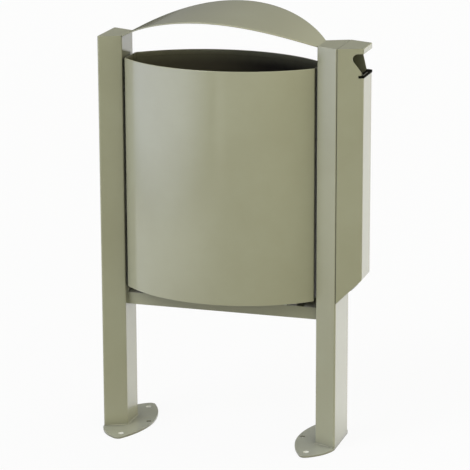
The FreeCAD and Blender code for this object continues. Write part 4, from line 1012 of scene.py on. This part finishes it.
class BIN_OT_screws(bpy.types.Operator):
    """Set the button-head screws of the hinges and of the ashtray's back plate"""

    bl_idname = "litter_bin.screws"
    bl_label = "Set the screws"

    def execute(self, context):
        sizes = context.scene.bin_sizes
        low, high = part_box("bar_hinge_screws")
        seat = high.z - sizes.screw_dome
        places = hinge_places(low, high, sizes.screw, sizes.hinge_pitch, seat)
        screws = repeated(screw_rings(sizes, seat - low.z), places)
        dress(tube_object("hinge_screws", screws), "frame", "zinc_steel", "bar_hinge_screws")
        low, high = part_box("back_plate_screws")
        seat = high.x - sizes.screw_dome
        across = np.array([low.y + sizes.screw, high.y - sizes.screw])
        heights = np.array([low.z + sizes.screw, high.z - sizes.screw])
        places = np.stack([np.full(4, seat), np.tile(across, 2), np.repeat(heights, 2)], 1)
        screws = repeated(along_x(screw_rings(sizes, seat - low.x), 1.0), places)
        dress(tube_object("plate_screws", screws), "frame", "zinc_steel", "back_plate_screws")
        return {"FINISHED"}


class BIN_OT_buffers(bpy.types.Operator):
    """Mould the rubber buffers that the tank rests on"""

    bl_idname = "litter_bin.buffers"
    bl_label = "Mould the buffers"

    def execute(self, context):
        low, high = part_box("rest_buffers")
        radius = 0.5 * (high.y - low.y)
        rings = self.buffer(radius, low.z, high.z - low.z)
        reach = high.x - radius
        middle = 0.5 * (low.y + high.y)
        places = np.array([[-reach, middle, 0.0], [reach, middle, 0.0]])
        dress(tube_object("moulded_buffers", repeated(rings, places)), "frame", "rubber",
              "rest_buffers")
        return {"FINISHED"}

    @staticmethod
    def buffer(radius, base, height):
        """Turned profile: a sine waist over the middle, and a top rounded as sqrt(1 - t^2)."""
        waist_from, waist_height, waist_depth = 0.2, 0.62, 0.16
        crown_from, crown_height, crown_least = 0.8, 0.2, 0.09
        under, top = 0.3, 0.12
        share = np.linspace(0.0, 1.0, BUFFER_POINTS)
        in_waist = np.clip((share - waist_from) / waist_height, 0.0, 1.0)
        in_crown = np.clip((share - crown_from) / crown_height, 0.0, 1.0)
        waist = 1.0 - waist_depth * np.sin(math.pi * in_waist)
        crown = np.sqrt(np.clip(1.0 - in_crown ** 2, crown_least, 1.0))
        radii = np.concatenate([[under * radius], radius * waist * crown, [top * radius]])
        heights = base + height * np.concatenate([[0.0], share, [1.0]])
        return turned(radii, heights, BUFFER_SEGMENTS)


def aim_camera(studio):
    """Camera at the photograph's place and angle."""
    right = Vector((math.cos(studio.yaw), math.sin(studio.yaw), 0.0))
    level = Vector((-math.sin(studio.yaw), math.cos(studio.yaw), 0.0))
    upward = Vector(UP)
    ahead = math.cos(studio.pitch) * level - math.sin(studio.pitch) * upward
    up = math.sin(studio.pitch) * level + math.cos(studio.pitch) * upward
    turned_right = math.cos(studio.roll) * right + math.sin(studio.roll) * up
    turned_up = math.cos(studio.roll) * up - math.sin(studio.roll) * right
    lens = bpy.data.cameras.new("camera")
    lens.sensor_width = SENSOR_WIDTH
    lens.lens = SENSOR_WIDTH * studio.focal / PHOTO_WIDTH
    lens.clip_end = CLIP_END
    camera = bpy.data.objects.new("camera", lens)
    turn = Matrix((turned_right, turned_up, -ahead)).transposed()
    camera.matrix_world = Matrix.Translation(studio.place) @ turn.to_4x4()
    bpy.context.scene.collection.objects.link(camera)
    bpy.context.scene.camera = camera


def light_room(studio):
    """World: white to the camera; as light, soft lobes, cool at the left and warm at the right.

    Low behind the bin the coat also shows a little of the white.
    """
    world = bpy.data.worlds.new("studio")
    world.use_nodes = True
    recipe = Recipe(world.node_tree)
    towards = recipe.node("ShaderNodeTexCoord", output="Generated")
    side, back, high = (recipe.part(towards, axis) for axis in range(3))
    front = 1.0 - recipe.ease(back, *ROOM_BACK)
    right = recipe.ease(side, *ROOM_RIGHT)
    top = recipe.ease(high, *ROOM_TOP)
    key, lamp = (recipe.vector("DOT_PRODUCT", towards, Vector(aim).normalized(), output="Value")
                 for aim in (studio.key_aim, studio.lamp_aim))
    beside = side * SIDE_AIM[0] + back * SIDE_AIM[1]
    walls = studio.front_light * (front * (1.0 - right)) + studio.back_light * (1.0 - front)
    left_share = (walls * (1.0 - top) + studio.top_light * top
                  + studio.lamp_light * recipe.ease(lamp, *LAMP_SPREAD))
    right_share = (studio.right_light * (front * right * (1.0 - top))
                   + studio.side_light * recipe.ease(beside, *SIDE_SPREAD)
                   + studio.key_light * recipe.ease(key, *KEY_SPREAD))
    room = recipe.vector("ADD", recipe.scaled(studio.cool, left_share),
                         recipe.scaled(studio.warm, right_share))
    sweep = recipe.ease(back, *SWEEP_BACK) * (1.0 - recipe.ease(high, *SWEEP_TOP))
    seen = recipe.ray("Is Camera Ray") + studio.sweep_light * recipe.mirrored() * sweep
    colour = recipe.mix(seen, room, WHITE)
    shade = recipe.node("ShaderNodeBackground", {}, {"Color": colour, "Strength": 1.0})
    recipe.node("ShaderNodeOutputWorld", {}, {"Surface": shade})
    bpy.context.scene.world = world


def level_sheet(name, half_width, half_depth):
    """A level rectangle about the origin."""
    return add_object(name, [(-half_width, -half_depth, 0.0), (half_width, -half_depth, 0.0),
                             (half_width, half_depth, 0.0), (-half_width, half_depth, 0.0)],
                      [(0, 1, 2, 3)])


def hang_soft_box(studio):
    """Soft box at the left front that fades towards its edges and isn't seen itself."""
    half_width, half_height = 0.5 * studio.box_width, 0.5 * studio.box_height
    box = level_sheet("soft_box", half_width, half_height)
    middle = Vector((0.0, 0.0, 0.65 * CAD_BOX[1].z))
    place = Vector(studio.box_place)
    turn = (middle - place).to_track_quat("Z", "Y").to_matrix().to_4x4()
    box.matrix_world = Matrix.Translation(place) @ turn
    box.visible_camera = False
    material, recipe = new_material("soft_box")
    spread = recipe.vector("DIVIDE", recipe.object_coords(), (half_width, half_height, 1.0))
    away = recipe.vector("LENGTH", spread, output="Value")
    strength = studio.box_light * (1.0 - recipe.ease(away, *BOX_FADE))
    glow = recipe.node("ShaderNodeEmission", {},
                       {"Color": (*studio.box_tint, 1.0), "Strength": strength})
    recipe.node("ShaderNodeOutputMaterial", {}, {"Surface": glow})
    put_material(box, material)


def lay_floor(studio):
    """Pale floor that shows nearly white to the camera and keeps the bin's shadow.

    The coat shows it bright behind the bin, but not far off at the left, and bright at the left
    front, and dark elsewhere.
    """
    floor = level_sheet("floor", FLOOR_HALF, FLOOR_HALF)
    material, recipe = new_material("pale_floor")
    matt = recipe.node("ShaderNodeBsdfDiffuse", {}, {"Color": (*studio.floor_tone, 1.0)})
    place = recipe.object_coords()
    side, back = (recipe.part(place, axis) for axis in range(2))
    away = recipe.vector("LENGTH", place, output="Value")
    behind = recipe.ease(back, *FLOOR_BACK)
    left = recipe.ease(0.0 - side, *FLOOR_LEFT)
    far_left = recipe.ease(away, *FLOOR_FAR) * (1.0 - recipe.ease(side, *FLOOR_RIGHT))
    lit = (studio.floor_near + studio.floor_behind * behind * (1.0 - far_left)
           + studio.floor_left * left * (1.0 - behind))
    mirrored = recipe.mirrored()
    white = recipe.node("ShaderNodeEmission", {}, {"Color": (*WHITE, 1.0),
                                                   "Strength": 1.0 - mirrored * (1.0 - lit)})
    seen = studio.floor_white * recipe.ray("Is Camera Ray") + mirrored
    mixed = recipe.node("ShaderNodeMixShader", {}, {0: seen, 1: matt, 2: white})
    recipe.node("ShaderNodeOutputMaterial", {}, {"Surface": mixed})
    put_material(floor, material)


class BIN_OT_stage(bpy.types.Operator):
    """Set the camera, the light and the floor"""

    bl_idname = "litter_bin.stage"
    bl_label = "Set the stage"

    def execute(self, context):
        studio = context.scene.bin_studio
        context.scene.view_settings.view_transform = "Standard"
        aim_camera(studio)
        light_room(studio)
        hang_soft_box(studio)
        lay_floor(studio)
        return {"FINISHED"}


class BIN_PT_panel(bpy.types.Panel):
    """Steps that dress the bin"""

    bl_label = "Litter Bin"
    bl_space_type = "VIEW_3D"
    bl_region_type = "UI"
    bl_category = "Litter Bin"

    def draw(self, context):
        for step in STEPS:
            self.layout.operator(step.bl_idname)


STEPS = (BIN_OT_finish, BIN_OT_tank, BIN_OT_canopy, BIN_OT_welds, BIN_OT_rivets, BIN_OT_screws,
         BIN_OT_buffers, BIN_OT_stage)
GROUPS = (BinSizes, BinFinish, BinStudio)


def register():
    for item in (*GROUPS, *STEPS, BIN_PT_panel):
        bpy.utils.register_class(item)
    bpy.types.Scene.bin_sizes = PointerProperty(type=BinSizes)
    bpy.types.Scene.bin_finish = PointerProperty(type=BinFinish)
    bpy.types.Scene.bin_studio = PointerProperty(type=BinStudio)


def unregister():
    del bpy.types.Scene.bin_studio
    del bpy.types.Scene.bin_finish
    del bpy.types.Scene.bin_sizes
    for item in (BIN_PT_panel, *reversed(STEPS), *reversed(GROUPS)):
        bpy.utils.unregister_class(item)


def main():
    register()
    for step in STEPS:
        group, name = step.bl_idname.split(".")
        getattr(getattr(bpy.ops, group), name)()


if __name__ == "__main__":
    main()
